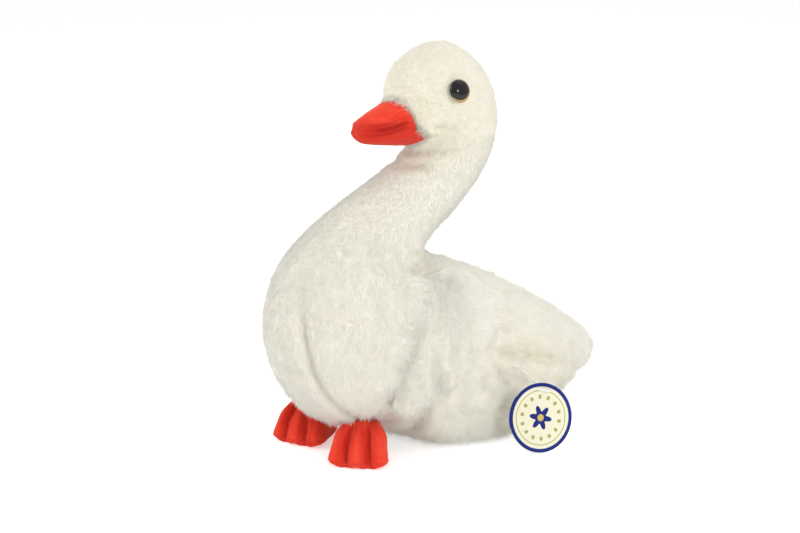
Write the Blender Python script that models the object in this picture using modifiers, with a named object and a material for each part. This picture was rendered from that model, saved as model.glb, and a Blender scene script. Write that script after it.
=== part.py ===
"""A sitting plush swan, built as it is sewn.

Side panels and a belly gusset of pile cloth hold the filling. Wings, feet and beak are bags of their own,
sewn on. Each moulded eye has a stem and a washer inside the head. A folded tag hangs from a fastener.
The swan looks along -Y and rests on Z = 0. Its left side is +X. All lengths are metres.
"""

import math
from collections import namedtuple

import bmesh
import bpy
from mathutils import Matrix, Vector
from mathutils.bvhtree import BVHTree

# Cloth and seams
PILE_CLOTH = 0.003
VELOUR_CLOTH = 0.0015
LINING_CLOTH = 0.0015
SEAM_GAP = 0.0003
SEAM_CREASE_DEPTH = 0.0017

# Body, neck and head widths, each half of the full width
BODY_HALF_WIDTH = 0.053
BREAST_HALF_WIDTH = 0.051
NECK_HALF_WIDTH = 0.0275
HEAD_HALF_WIDTH = 0.0325
TAIL_TIP_HALF_WIDTH = 0.008

# The strip under the belly
GUSSET_HALF_WIDTH = 0.022
GUSSET_DEPTH = 0.015
GUSSET_PROUD = 0.010
GUSSET_POINT = 0.0015

# Beak
BEAK_LENGTH = 0.0420
BEAK_HALF_WIDTH = 0.0180
BEAK_TOP_RISE = 0.0165
BEAK_UNDER_DROP = 0.0175
BEAK_BURIED = 0.006
BEAK_SEAM_DROP = 0.0035
BEAK_TIP_DROOP = 0.0065
BEAK_ROOT = (0.0065, 0.2030)

# Eyes
EYE_RADIUS = 0.0073
EYE_DOME = 0.0042
EYE_SEAT = 0.0010
EYE_STEM_RADIUS = 0.0018
EYE_STEM_LENGTH = 0.0095
WASHER_RADIUS = 0.0050
WASHER_THICKNESS = 0.0015
WASHER_BELOW_CLOTH = 0.0026
EYE_PLACE = (0.0215, 0.2205)

# Wings
WING_CROWN = 0.0080
WING_RIM = 0.0036
WING_COVER_CLOTH = 0.0025
WING_HANG = 0.0410
WING_HANG_BELOW = 0.070
WING_SEAT = 0.0024
WING_FEATHER_DIP = 0.45

# Feet. Each foot's place is its heel's X and Y, and how far its toes turn out
FOOT_LENGTH = 0.040
FOOT_HALF_WIDTH = 0.0190
FOOT_RIM = 0.0060
FOOT_SOLE_RISE = 0.0025
FOOT_REAR_HEIGHT = 0.0340
FOOT_TOE_HEIGHT = 0.0215
FOOT_WEB_DIP = 0.28
FOOT_PLACES = {
    "left": (0.0113, -0.0354, math.radians(40)),
    "right": (-0.0374, -0.0300, math.radians(-18)),
}

# Hang tag and its fastener
TAG_LONG = 0.043
TAG_WIDE = 0.038
TAG_CARD = 0.0005
TAG_LEAF_GAP = 0.0006
TAG_FOLD = 0.0025
TAG_HOLE_INSET = 0.0045
TAG_OFF_FLOOR = 0.0015
TAG_LEAN = math.radians(17)
TAG_FACING = math.radians(44)
TAG_ROLL = math.radians(8)
TAG_FOOT_PLACE = (0.0860, 0.0400)
FASTENER_RADIUS = 0.0006
FASTENER_BAR = 0.0080
FASTENER_ROOT = (0.0500, 0.0470)

SIDES = ((1, "left"), (-1, "right"))
RING_POINTS = 8
BEAK_RING_POINTS = 12
CAGE_GROWTH = 1.08
FLAP_RINGS = (0.42, 0.76, 1.0)
WING_POINTS = 18
FOOT_POINTS = 24
TURNED_POINTS = 12
TAG_POINTS = 24

Station = namedtuple("Station", "back belly half_width widest gusset square", defaults=(None, 1.0))

# Sections from the tail tip over the belly and the breast, up the neck and round the head.
# Each gives its point on the back and on the belly as (Y, Z), its half width, where it is widest
# as a share of the way from belly to back, the gusset's share of its half width, and how square
# its lower half is, from 1 for an ellipse down to 0 for a box.
TAIL_SECTIONS = (
    Station((0.1710, 0.0380), (0.1680, 0.0250), TAIL_TIP_HALF_WIDTH, 0.50),
    Station((0.1590, 0.0510), (0.1530, 0.0180), 0.46 * BODY_HALF_WIDTH, 0.50, 0.10),
    Station((0.1330, 0.0670), (0.1250, 0.0120), 0.72 * BODY_HALF_WIDTH, 0.47, 0.55),
    Station((0.1040, 0.0850), (0.0960, 0.0010), 0.90 * BODY_HALF_WIDTH, 0.44, 0.90, 0.60),
)
BODY_SECTIONS = (
    Station((0.0730, 0.1010), (0.0670, -0.0050), 0.99 * BODY_HALF_WIDTH, 0.42, 1.0, 0.45),
    Station((0.0450, 0.1130), (0.0330, -0.0060), BODY_HALF_WIDTH, 0.43, 1.0, 0.42),
    Station((0.0260, 0.1200), (0.0010, -0.0030), BODY_HALF_WIDTH, 0.46, 1.0, 0.70),
    Station((0.0170, 0.1220), (-0.0290, 0.0130), BODY_HALF_WIDTH, 0.48, 1.0),
    Station((0.0130, 0.1220), (-0.0600, 0.0180), BREAST_HALF_WIDTH, 0.48, 1.0),
    Station((0.0100, 0.1220), (-0.0870, 0.0370), 0.98 * BREAST_HALF_WIDTH, 0.50, 1.0),
    Station((0.0080, 0.1220), (-0.1010, 0.0670), 0.97 * BREAST_HALF_WIDTH, 0.51, 0.95),
    Station((0.0080, 0.1220), (-0.1000, 0.0980), 0.92 * BREAST_HALF_WIDTH, 0.53, 0.75),
    Station((0.0090, 0.1230), (-0.0850, 0.1280), 0.80 * BREAST_HALF_WIDTH, 0.54, 0.35),
)
NECK_SECTIONS = (
    Station((0.0140, 0.1260), (-0.0530, 0.1520), 1.18 * NECK_HALF_WIDTH, 0.52, 0.0),
    Station((0.0330, 0.1360), (-0.0160, 0.1710), 1.03 * NECK_HALF_WIDTH, 0.50),
    Station((0.0550, 0.1540), (0.0070, 0.1820), NECK_HALF_WIDTH, 0.50),
)
HEAD_SECTIONS = (
    Station((0.0700, 0.1780), (0.0130, 0.1895), 0.93 * HEAD_HALF_WIDTH, 0.50),
    Station((0.0740, 0.2040), (0.0100, 0.1920), 0.98 * HEAD_HALF_WIDTH, 0.55),
    Station((0.0680, 0.2290), (0.0050, 0.1920), HEAD_HALF_WIDTH, 0.53),
    Station((0.0490, 0.2480), (0.0020, 0.1915), HEAD_HALF_WIDTH, 0.51),
    Station((0.0260, 0.2520), (-0.0005, 0.1915), 0.93 * HEAD_HALF_WIDTH, 0.50),
    Station((0.0060, 0.2430), (-0.0025, 0.1925), 0.74 * HEAD_HALF_WIDTH, 0.50),
    Station((-0.0050, 0.2280), (-0.0045, 0.1970), 0.45 * HEAD_HALF_WIDTH, 0.50),
)
STATIONS = TAIL_SECTIONS + BODY_SECTIONS + NECK_SECTIONS + HEAD_SECTIONS

# The left wing's outline as (Y, Z), from its front shoulder along the back and down round the tip
WING_OUTLINE = (
    (-0.0260, 0.1130),
    (0.0030, 0.1160),
    (0.0320, 0.1050),
    (0.0390, 0.0840),
    (0.0240, 0.0630),
    (0.0050, 0.0470),
    (-0.0150, 0.0370),
    (-0.0310, 0.0290),
    (-0.0440, 0.0360),
    (-0.0450, 0.0560),
    (-0.0390, 0.0760),
    (-0.0320, 0.0950),
)
WING_CENTRE = (-0.0120, 0.0750)
WING_FEATHER_LINE = ((-0.0150, 0.0370), (-0.0120, 0.0720))

# A foot's outline as (forward, outward) shares of its length and half width, from heel to toes
FOOT_OUTLINE = (
    (0.00, 0.00),
    (0.05, 0.55),
    (0.45, 0.80),
    (0.78, 1.00),
    (0.94, 0.80),
    (0.91, 0.40),
    (1.00, 0.00),
)
FOOT_CENTRE = 0.56


def clear_scene():
    """Remove whatever the open file holds."""
    for item in list(bpy.data.objects):
        bpy.data.objects.remove(item, do_unlink=True)
    for group in list(bpy.data.collections):
        bpy.data.collections.remove(group)


def new_collection(name):
    """Add a collection to the scene."""
    group = bpy.data.collections.new(name)
    bpy.context.scene.collection.children.link(group)
    return group


def finish(name, colour, roughness):
    """Make a plain material."""
    made = bpy.data.materials.new(name)
    made.use_nodes = True
    shader = made.node_tree.nodes["Principled BSDF"]
    shader.inputs["Base Color"].default_value = (*colour, 1.0)
    shader.inputs["Roughness"].default_value = roughness
    shader.inputs["Metallic"].default_value = 0.0
    return made


def add_object(name, mesh, group, material=None):
    """Put a mesh in a collection, in its material."""
    placed = bpy.data.objects.new(name, mesh)
    group.objects.link(placed)
    if material:
        mesh.materials.append(material)
        mesh.shade_smooth()
        mesh.set_sharp_from_angle(angle=math.radians(50))
    else:
        placed.hide_render = True
        placed.display_type = "WIRE"
    return placed


def mesh_from(name, points, faces):
    """Make a mesh with its faces turned outwards."""
    mesh = bpy.data.meshes.new(name)
    mesh.from_pydata([tuple(p) for p in points], [], faces)
    shape = bmesh.new()
    shape.from_mesh(mesh)
    bmesh.ops.recalc_face_normals(shape, faces=shape.faces)
    shape.to_mesh(mesh)
    shape.free()
    return mesh


def loft_mesh(name, rings):
    """Join rings of points into one closed skin."""
    count = len(rings[0])
    points = [p for ring in rings for p in ring]
    faces = [tuple(range(count)), tuple(range(len(points) - count, len(points)))]
    for k in range(len(rings) - 1):
        for i in range(count):
            j = (i + 1) % count
            low, high = k * count, (k + 1) * count
            faces.append((low + i, low + j, high + j, high + i))
    return mesh_from(name, points, faces)


def smooth_loop(points, count):
    """Read a number of places along a closed smooth curve through 2D points."""
    total = len(points)
    wrapped = [points[k % total] for k in range(-1, total + 2)]
    loop = []
    for n in range(count):
        k, t = divmod(n * total / count, 1)
        loop.append(Vector(spline_between(wrapped, int(k) + 1, t)))
    return loop


def subdivide(item, levels=1):
    """Round a cage off."""
    rounding = item.modifiers.new("Rounding", "SUBSURF")
    rounding.levels = levels
    rounding.render_levels = levels


def triangulate(item):
    """Split a skin into triangles, so that all its pushed copies lie side by side."""
    split = item.modifiers.new("Triangles", "TRIANGULATE")
    split.quad_method = "FIXED"


def offset(item, distance):
    """Push a skin out, or in where the distance is negative."""
    push = item.modifiers.new("Offset", "DISPLACE")
    push.direction = "NORMAL"
    push.strength = distance
    push.mid_level = 0.0


def boolean(item, other, operation):
    """Cut, cross or join an object with another."""
    step = item.modifiers.new(operation.title() + " " + other.name, "BOOLEAN")
    step.operation = operation
    step.object = other
    step.solver = "EXACT"


def cut(item, *others):
    """Take other solids out of an object."""
    for other in others:
        boolean(item, other, "DIFFERENCE")


def keep_within(item, other):
    """Keep only what lies inside another solid."""
    boolean(item, other, "INTERSECT")


def box_cutter(name, low, high, group):
    """Make a box between two corners."""
    shape = bmesh.new()
    bmesh.ops.create_cube(shape, size=1.0)
    span = Vector(high) - Vector(low)
    middle = (Vector(high) + Vector(low)) / 2
    bmesh.ops.transform(shape, matrix=Matrix.Translation(middle) @ Matrix.Diagonal((*span, 1.0)), verts=shape.verts)
    mesh = bpy.data.meshes.new(name)
    shape.to_mesh(mesh)
    shape.free()
    return add_object(name, mesh, group)


def floor_cutter(name, height, group):
    """Make a box that takes off everything below a height."""
    return box_cutter(name, (-0.2, -0.2, -0.05), (0.2, 0.3, height), group)


def tube_mesh(name, points, radius, group, sides=1):
    """Make a closed tube along points as a mesh."""
    curve = bpy.data.curves.new(name + "_curve", "CURVE")
    curve.dimensions = "3D"
    curve.bevel_depth = radius
    curve.bevel_resolution = sides
    curve.use_fill_caps = True
    spline = curve.splines.new("POLY")
    spline.points.add(len(points) - 1)
    for slot, point in zip(spline.points, points):
        slot.co = (*point, 1.0)
    guide = bpy.data.objects.new(name + "_curve", curve)
    group.objects.link(guide)
    bpy.context.view_layer.update()
    mesh = bpy.data.meshes.new_from_object(guide.evaluated_get(bpy.context.evaluated_depsgraph_get()))
    shape = bmesh.new()
    shape.from_mesh(mesh)
    bmesh.ops.remove_doubles(shape, verts=shape.verts, dist=0.00001)
    bmesh.ops.recalc_face_normals(shape, faces=shape.faces)
    shape.to_mesh(mesh)
    shape.free()
    bpy.data.objects.remove(guide, do_unlink=True)
    return mesh


def turned_mesh(name, profile, segments=TURNED_POINTS):
    """Turn a profile of (radius, height) round Z, from its lower end to its upper end on the axis."""
    points = []
    rings = []
    for radius, height in profile:
        if radius == 0.0:
            rings.append([len(points)] * segments)
            points.append(Vector((0.0, 0.0, height)))
            continue
        rings.append(list(range(len(points), len(points) + segments)))
        for k in range(segments):
            turn = 2 * math.pi * k / segments
            points.append(Vector((radius * math.cos(turn), radius * math.sin(turn), height)))
    faces = []
    for low, high in zip(rings, rings[1:]):
        for k in range(segments):
            j = (k + 1) % segments
            corners = dict.fromkeys((low[k], low[j], high[j], high[k]))
            faces.append(tuple(corners))
    return mesh_from(name, points, faces)


def place_mesh(mesh, matrix):
    """Move a mesh's own points to their place."""
    mesh.transform(matrix)
    return mesh


class Surface:
    """The body's outer skin, asked where it lies."""

    def __init__(self, item):
        graph = bpy.context.evaluated_depsgraph_get()
        self.tree = BVHTree.FromObject(item, graph)

    def hit(self, start, direction):
        """Return the first point and its outward direction along a ray."""
        point, normal, _, _ = self.tree.ray_cast(Vector(start), Vector(direction).normalized())
        return point, normal

    def side_reach(self, y, z, seat):
        """Return how far out a piece lies that rests on the left side, a seat's distance off the skin."""
        point, normal = self.hit((0.3, y, z), (-1.0, 0.0, 0.0))
        return point.x + seat / max(normal.x, 0.3) if point else 0.0


def section_ring(station, growth=CAGE_GROWTH):
    """Return the points round one section of the body."""
    back = Vector((0.0, *station.back))
    belly = Vector((0.0, *station.belly))
    middle = belly.lerp(back, station.widest)
    ring = []
    for k in range(RING_POINTS):
        turn = 2 * math.pi * k / RING_POINTS - math.pi / 2
        across = Vector((math.cos(turn) * station.half_width, 0.0, 0.0))
        rise = math.sin(turn)
        if rise > 0:
            along = (back - middle) * rise
        else:
            across.x = math.copysign(abs(math.cos(turn)) ** station.square * station.half_width, across.x)
            along = (belly - middle) * abs(rise) ** station.square
        ring.append(middle + (across + along) * growth)
    return ring


def body_skin(name, group, distance=0.0):
    """Make the body's closed outer shape, or a copy pushed in or out."""
    rings = [section_ring(s) for s in STATIONS]
    item = add_object(name, loft_mesh(name, rings), group)
    subdivide(item)
    triangulate(item)
    if distance:
        offset(item, distance)
    return item


def gusset_path(per_span=2):
    """Return points along the belly line, each with the way inwards and the gusset's half width."""
    stations = [s for s in STATIONS if s.gusset is not None]
    samples = []
    for station in stations:
        belly = Vector((0.0, *station.belly))
        inwards = (Vector((0.0, *station.back)) - belly).normalized()
        samples.append((*belly, *inwards, GUSSET_HALF_WIDTH * station.gusset))
    path = []
    last = len(samples) - 1
    for k in range(last):
        for n in range(per_span):
            path.append(spline_between(samples, k, n / per_span))
    path.append(list(samples[last]))
    return [(Vector(p[0:3]), Vector(p[3:6]).normalized(), max(p[6], 0.0)) for p in path]


def spline_between(samples, k, t):
    """Read a smooth curve between sample k and the next."""
    last = len(samples) - 1
    rows = [samples[min(max(k + n, 0), last)] for n in (-1, 0, 1, 2)]
    weights = (
        0.5 * (-t + 2 * t**2 - t**3),
        0.5 * (2 - 5 * t**2 + 3 * t**3),
        0.5 * (t + 4 * t**2 - 3 * t**3),
        0.5 * (-(t**2) + t**3),
    )
    return [sum(w * v for w, v in zip(weights, column)) for column in zip(*rows)]


def gusset_strip(name, group, wider=0.0):
    """Make the volume that the belly gusset takes up, narrow at both ends."""
    rings = []
    for belly, inwards, half_width in gusset_path():
        half = max(half_width, GUSSET_POINT) + wider
        low = belly - inwards * GUSSET_PROUD
        high = belly + inwards * GUSSET_DEPTH
        side = Vector((half, 0.0, 0.0))
        rings.append([low - side, low + side, high + side, high - side])
    return add_object(name, loft_mesh(name, rings), group)


def crease_seams(skin, pieces, group):
    """Groove the pieces along both of the gusset's seams, as far as the seams stay apart."""
    across = Vector((SEAM_CREASE_DEPTH, 0.0, 0.0))
    shape = bmesh.new()
    for side, word in SIDES:
        rings = []
        for belly, inwards, half_width in gusset_path():
            if half_width < 3 * SEAM_CREASE_DEPTH:
                continue
            start = belly - inwards * 0.05 + Vector((side * (half_width + SEAM_GAP / 2), 0.0, 0.0))
            point, _ = skin.hit(start, inwards)
            deep = inwards * SEAM_CREASE_DEPTH
            rings.append([point - across, point + deep, point + across, point - deep])
        shape.from_mesh(loft_mesh("groove_" + word, rings))
    mesh = bpy.data.meshes.new("seam_creases")
    shape.to_mesh(mesh)
    shape.free()
    grooves = add_object("seam_creases", mesh, group)
    for piece in pieces:
        cut(piece, grooves)


def flap_layer(name, outline, centre, rings, place, low, high):
    """Make a closed slab between two heights over a star-shaped outline."""
    count = len(outline)
    flat = [(Vector(centre), 0.0)]
    for share in rings:
        flat += [(Vector(centre).lerp(p, share), share) for p in outline]
    total = len(flat)
    points = [place(p, high(p, r)) for p, r in flat] + [place(p, low(p, r)) for p, r in flat]
    faces = []
    for base in (0, total):
        for i in range(count):
            j = (i + 1) % count
            faces.append((base, base + 1 + i, base + 1 + j))
            for k in range(len(rings) - 1):
                inner, outer = base + 1 + k * count, base + 1 + (k + 1) * count
                faces.append((inner + i, inner + j, outer + j, outer + i))
    rim = 1 + (len(rings) - 1) * count
    for i in range(count):
        j = (i + 1) % count
        faces.append((rim + i, rim + j, total + rim + j, total + rim + i))
    return mesh_from(name, points, faces)


def dome(share, power=0.65):
    """Return how full a padded flap is, from 1 at its middle to 0 at its rim."""
    return max(1.0 - share**2, 0.0) ** power


def line_dip(point, line, width):
    """Return 1 on a stitched line and 0 away from it."""
    start, end = Vector(line[0]), Vector(line[1])
    run = end - start
    t = min(max((point - start).dot(run) / run.length_squared, 0.0), 1.0)
    away = (point - start - run * t).length
    return math.exp(-((away / width) ** 2)) * min(1.0, 3.0 * (1.0 - t))


def build_body(parts, cutters, cloth, wadding):
    """Build the side panels, the belly gusset and the filling, flat where they rest."""
    guide = body_skin("body_guide", cutters)
    bpy.context.view_layer.update()
    skin = Surface(guide)
    inner = body_skin("cloth_inside", cutters, -PILE_CLOTH)
    wide_strip = gusset_strip("gusset_cutter", cutters, SEAM_GAP)
    narrow_strip = gusset_strip("gusset_keeper", cutters)
    floor = floor_cutter("floor_cutter", 0.0, cutters)
    cut(inner, floor_cutter("cloth_floor", PILE_CLOTH, cutters))

    panels = {}
    for side, word in SIDES:
        inside_edge, outside_edge = side * SEAM_GAP / 2, side * 0.2
        low_x, high_x = sorted((inside_edge, outside_edge))
        region = box_cutter("half_" + word, (low_x, -0.3, -0.05), (high_x, 0.3, 0.35), cutters)
        panel = body_skin("side_panel_" + word, parts)
        panel.data.materials.append(cloth)
        show(panel)
        keep_within(panel, region)
        cut(panel, floor, wide_strip, inner)
        panels[word] = panel

    gusset = body_skin("belly_gusset", parts)
    gusset.data.materials.append(cloth)
    show(gusset)
    keep_within(gusset, narrow_strip)
    cut(gusset, floor, inner)

    filling = body_skin("body_filling", parts, -PILE_CLOTH - SEAM_GAP)
    filling.data.materials.append(wadding)
    show(filling)
    cut(filling, floor_cutter("filling_floor", PILE_CLOTH + SEAM_GAP, cutters))
    return skin, panels, gusset, filling


def show(item):
    """Turn a guide shape into a finished part."""
    item.hide_render = False
    item.display_type = "TEXTURED"
    item.data.shade_smooth()


def facing_frame(point, direction):
    """Return a frame whose Z runs along a direction."""
    turn = Vector(direction).to_track_quat("Z", "Y").to_matrix().to_4x4()
    return Matrix.Translation(point) @ turn


def build_eyes(parts, cutters, skin, panels, filling, plastic, washer_plastic):
    """Build each eye, its washer, its seat in the cloth and the pocket in the filling."""
    washer_top = -PILE_CLOTH - WASHER_BELOW_CLOTH
    washer_base = washer_top - WASHER_THICKNESS
    y, z = EYE_PLACE
    for side, word in SIDES:
        point, normal = skin.hit((side * 0.1, y, z), (-side, 0.0, 0.0))
        frame = facing_frame(point, normal)
        base = -EYE_SEAT + SEAM_GAP
        steps = 4
        rounds = [math.pi / 2 * k / steps for k in range(steps + 1)]
        profile = [(0.0, base - EYE_STEM_LENGTH), (EYE_STEM_RADIUS, base - EYE_STEM_LENGTH), (EYE_STEM_RADIUS, base)]
        profile += [(EYE_RADIUS * math.cos(a), base + 0.0006 + EYE_DOME * math.sin(a)) for a in rounds[:-1]]
        profile.insert(3, (EYE_RADIUS, base))
        profile.append((0.0, base + 0.0006 + EYE_DOME))
        mesh = place_mesh(turned_mesh("eye_" + word, profile), frame)
        add_object("eye_" + word, mesh, parts, plastic)

        hole = EYE_STEM_RADIUS + SEAM_GAP
        ring = [(hole, washer_base), (WASHER_RADIUS, washer_base), (WASHER_RADIUS, washer_top), (hole, washer_top)]
        washer = place_mesh(turned_mesh("eye_washer_" + word, ring + ring[:1]), frame)
        shape = bmesh.new()
        shape.from_mesh(washer)
        bmesh.ops.remove_doubles(shape, verts=shape.verts, dist=0.00001)
        bmesh.ops.recalc_face_normals(shape, faces=shape.faces)
        shape.to_mesh(washer)
        shape.free()
        add_object("eye_washer_" + word, washer, parts, washer_plastic)

        seat_profile = [
            (0.0, -PILE_CLOTH - 0.004),
            (hole, -PILE_CLOTH - 0.004),
            (hole, -EYE_SEAT),
            (EYE_RADIUS + SEAM_GAP, -EYE_SEAT),
            (EYE_RADIUS + SEAM_GAP, 0.004),
            (0.0, 0.004),
        ]
        seat = place_mesh(turned_mesh("eye_seat_" + word, seat_profile), frame)
        cut(panels[word], add_object("eye_seat_" + word, seat, cutters))
        pocket_profile = [
            (0.0, base - EYE_STEM_LENGTH - SEAM_GAP),
            (hole, base - EYE_STEM_LENGTH - SEAM_GAP),
            (hole, washer_base - SEAM_GAP),
            (WASHER_RADIUS + SEAM_GAP, washer_base - SEAM_GAP),
            (WASHER_RADIUS + SEAM_GAP, 0.004),
            (0.0, 0.004),
        ]
        pocket = place_mesh(turned_mesh("eye_pocket_" + word, pocket_profile), frame)
        cut(filling, add_object("eye_pocket_" + word, pocket, cutters))


def beak_rings():
    """Return the beak's sections from its root inside the face to its tip."""
    root = Vector((0.0, *BEAK_ROOT))
    tip = root + Vector((0.0, -BEAK_LENGTH, -BEAK_TIP_DROOP))
    # Each section's place along the beak, and its share of the full width and height
    sections = (
        (-BEAK_BURIED / BEAK_LENGTH, 1.0, 1.0),
        (0.06, 1.0, 1.0),
        (0.34, 0.95, 0.84),
        (0.62, 0.82, 0.66),
        (0.86, 0.60, 0.48),
        (0.97, 0.36, 0.28),
        (1.0, 0.16, 0.12),
    )
    rings = []
    for along, wide, tall in sections:
        middle = root.lerp(tip, along)
        ring = []
        for k in range(BEAK_RING_POINTS):
            turn = 2 * math.pi * k / BEAK_RING_POINTS - math.pi / 2
            rise = math.sin(turn)
            height = BEAK_TOP_RISE if rise > 0 else BEAK_UNDER_DROP
            across = math.cos(turn) * BEAK_HALF_WIDTH * wide
            ring.append(middle + Vector((across, 0.0, height * tall * rise)))
        rings.append(ring)
    return rings


def beak_skin(name, group, distance=0.0):
    """Make the beak's closed outer shape, or a copy pushed in."""
    item = add_object(name, loft_mesh(name, beak_rings()), group)
    triangulate(item)
    if distance:
        offset(item, distance)
    return item


def build_beak(parts, cutters, velour, wadding):
    """Build the beak's two cloth halves round their filling, sewn against the face."""
    face = body_skin("face_clearance", cutters, SEAM_GAP)
    inner = beak_skin("beak_inside", cutters, -VELOUR_CLOTH)
    seam_height = BEAK_ROOT[1] - BEAK_SEAM_DROP
    halves = (("beak_upper", seam_height + SEAM_GAP / 2, 0.30), ("beak_lower", 0.10, seam_height - SEAM_GAP / 2))
    for name, low, high in halves:
        region = box_cutter(name + "_region", (-0.1, -0.1, low), (0.1, 0.1, high), cutters)
        half = beak_skin(name, parts)
        half.data.materials.append(velour)
        show(half)
        cut(half, inner)
        keep_within(half, region)
        cut(half, face)
    filling = beak_skin("beak_filling", parts, -VELOUR_CLOTH - SEAM_GAP)
    filling.data.materials.append(wadding)
    show(filling)
    cut(filling, face)


def build_wings(parts, skin, cloth, lining_cloth, wadding):
    """Build each wing as a cover and a lining round a thin filling, draped on the body."""
    outline = smooth_loop(WING_OUTLINE, WING_POINTS)

    def base(p, _share):
        seat = skin.side_reach(p.x, p.y, WING_SEAT)
        return max(seat, WING_HANG) if p.y < WING_HANG_BELOW else seat

    def top(p, share):
        dip = 1.0 - WING_FEATHER_DIP * line_dip(p, WING_FEATHER_LINE, 0.004)
        return base(p, share) + WING_RIM + WING_CROWN * dome(share) * dip

    def under_cover(p, share):
        return max(base(p, share) + LINING_CLOTH + SEAM_GAP, top(p, share) - WING_COVER_CLOTH)

    def filling_low(p, share):
        return base(p, share) + LINING_CLOTH + 2 * SEAM_GAP

    def filling_high(p, share):
        return top(p, share) - WING_COVER_CLOTH - SEAM_GAP

    def lining_top(p, share):
        return base(p, share) + LINING_CLOTH

    layers = (
        ("cover", FLAP_RINGS, under_cover, top, cloth),
        ("lining", FLAP_RINGS, base, lining_top, lining_cloth),
        ("filling", FLAP_RINGS[:-1], filling_low, filling_high, wadding),
    )
    for side, word in SIDES:
        for layer, rings, low, high, material in layers:
            name = f"wing_{word}_{layer}"

            def place(p, x, side=side):
                return Vector((side * x, p.x, p.y))

            add_object(name, flap_layer(name, outline, WING_CENTRE, rings, place, low, high), parts, material)


def build_feet(parts, cutters, velour, wadding):
    """Build each webbed foot as an upper and a sole round its filling, sewn under the belly."""
    clearance = body_skin("foot_clearance", cutters, SEAM_GAP)
    half = [(f * FOOT_LENGTH, s * FOOT_HALF_WIDTH) for f, s in FOOT_OUTLINE]
    outline = smooth_loop(half + [(f, -s) for f, s in reversed(half[1:-1])], FOOT_POINTS)
    centre = Vector((FOOT_CENTRE * FOOT_LENGTH, 0.0))
    notch = Vector((0.91 * FOOT_LENGTH, 0.40 * FOOT_HALF_WIDTH))
    webs = [((notch.x, s * notch.y), (centre.x, 0.0)) for s in (1, -1)]

    def bottom(p, share):
        return FOOT_SOLE_RISE * max(share - FLAP_RINGS[1], 0.0) / (1.0 - FLAP_RINGS[1])

    def sole_top(p, share):
        return bottom(p, share) + VELOUR_CLOTH

    def filling_low(p, share):
        return sole_top(p, share) + 2 * SEAM_GAP

    def top(p, share):
        along = min(max(p.x / FOOT_LENGTH, 0.0), 1.0)
        crown = FOOT_REAR_HEIGHT + (FOOT_TOE_HEIGHT - FOOT_REAR_HEIGHT) * along
        dips = max(line_dip(p, web, 0.0025) for web in webs)
        return FOOT_RIM + (crown - FOOT_RIM) * dome(share, 0.5) * (1.0 - FOOT_WEB_DIP * dips)

    def under_upper(p, share):
        return max(sole_top(p, share) + SEAM_GAP, top(p, share) - VELOUR_CLOTH)

    def filling_high(p, share):
        return top(p, share) - VELOUR_CLOTH - SEAM_GAP

    layers = (
        ("upper", FLAP_RINGS, under_upper, top, velour),
        ("sole", FLAP_RINGS[1:], bottom, sole_top, velour),
        ("filling", FLAP_RINGS[:-1], filling_low, filling_high, wadding),
    )
    for side, word in SIDES:
        heel_x, heel_y, splay = FOOT_PLACES[word]
        forward = Vector((side * math.sin(splay), -math.cos(splay), 0.0))
        outward = Vector((side * math.cos(splay), math.sin(splay), 0.0))
        heel = Vector((heel_x, heel_y, 0.0))

        def place(p, z, heel=heel, forward=forward, outward=outward):
            return heel + forward * p.x + outward * p.y + Vector((0.0, 0.0, z))

        for layer, rings, low, high, material in layers:
            name = f"foot_{word}_{layer}"
            mesh = flap_layer(name, outline, centre, rings, place, low, high)
            item = add_object(name, mesh, parts, material)
            if layer != "sole":
                cut(item, clearance)


def tag_frame():
    """Return the tag's frame: X across it, Y through it to its back and Z up it, with its foot at the origin."""
    place = Matrix.Translation((*TAG_FOOT_PLACE, TAG_OFF_FLOOR))
    turn = Matrix.Rotation(TAG_FACING, 4, "Z")
    lean = Matrix.Rotation(-TAG_LEAN, 4, "X")
    roll = Matrix.Translation((0.0, 0.0, TAG_LONG / 2)) @ Matrix.Rotation(TAG_ROLL, 4, "Y")
    return place @ turn @ lean @ roll


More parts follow.
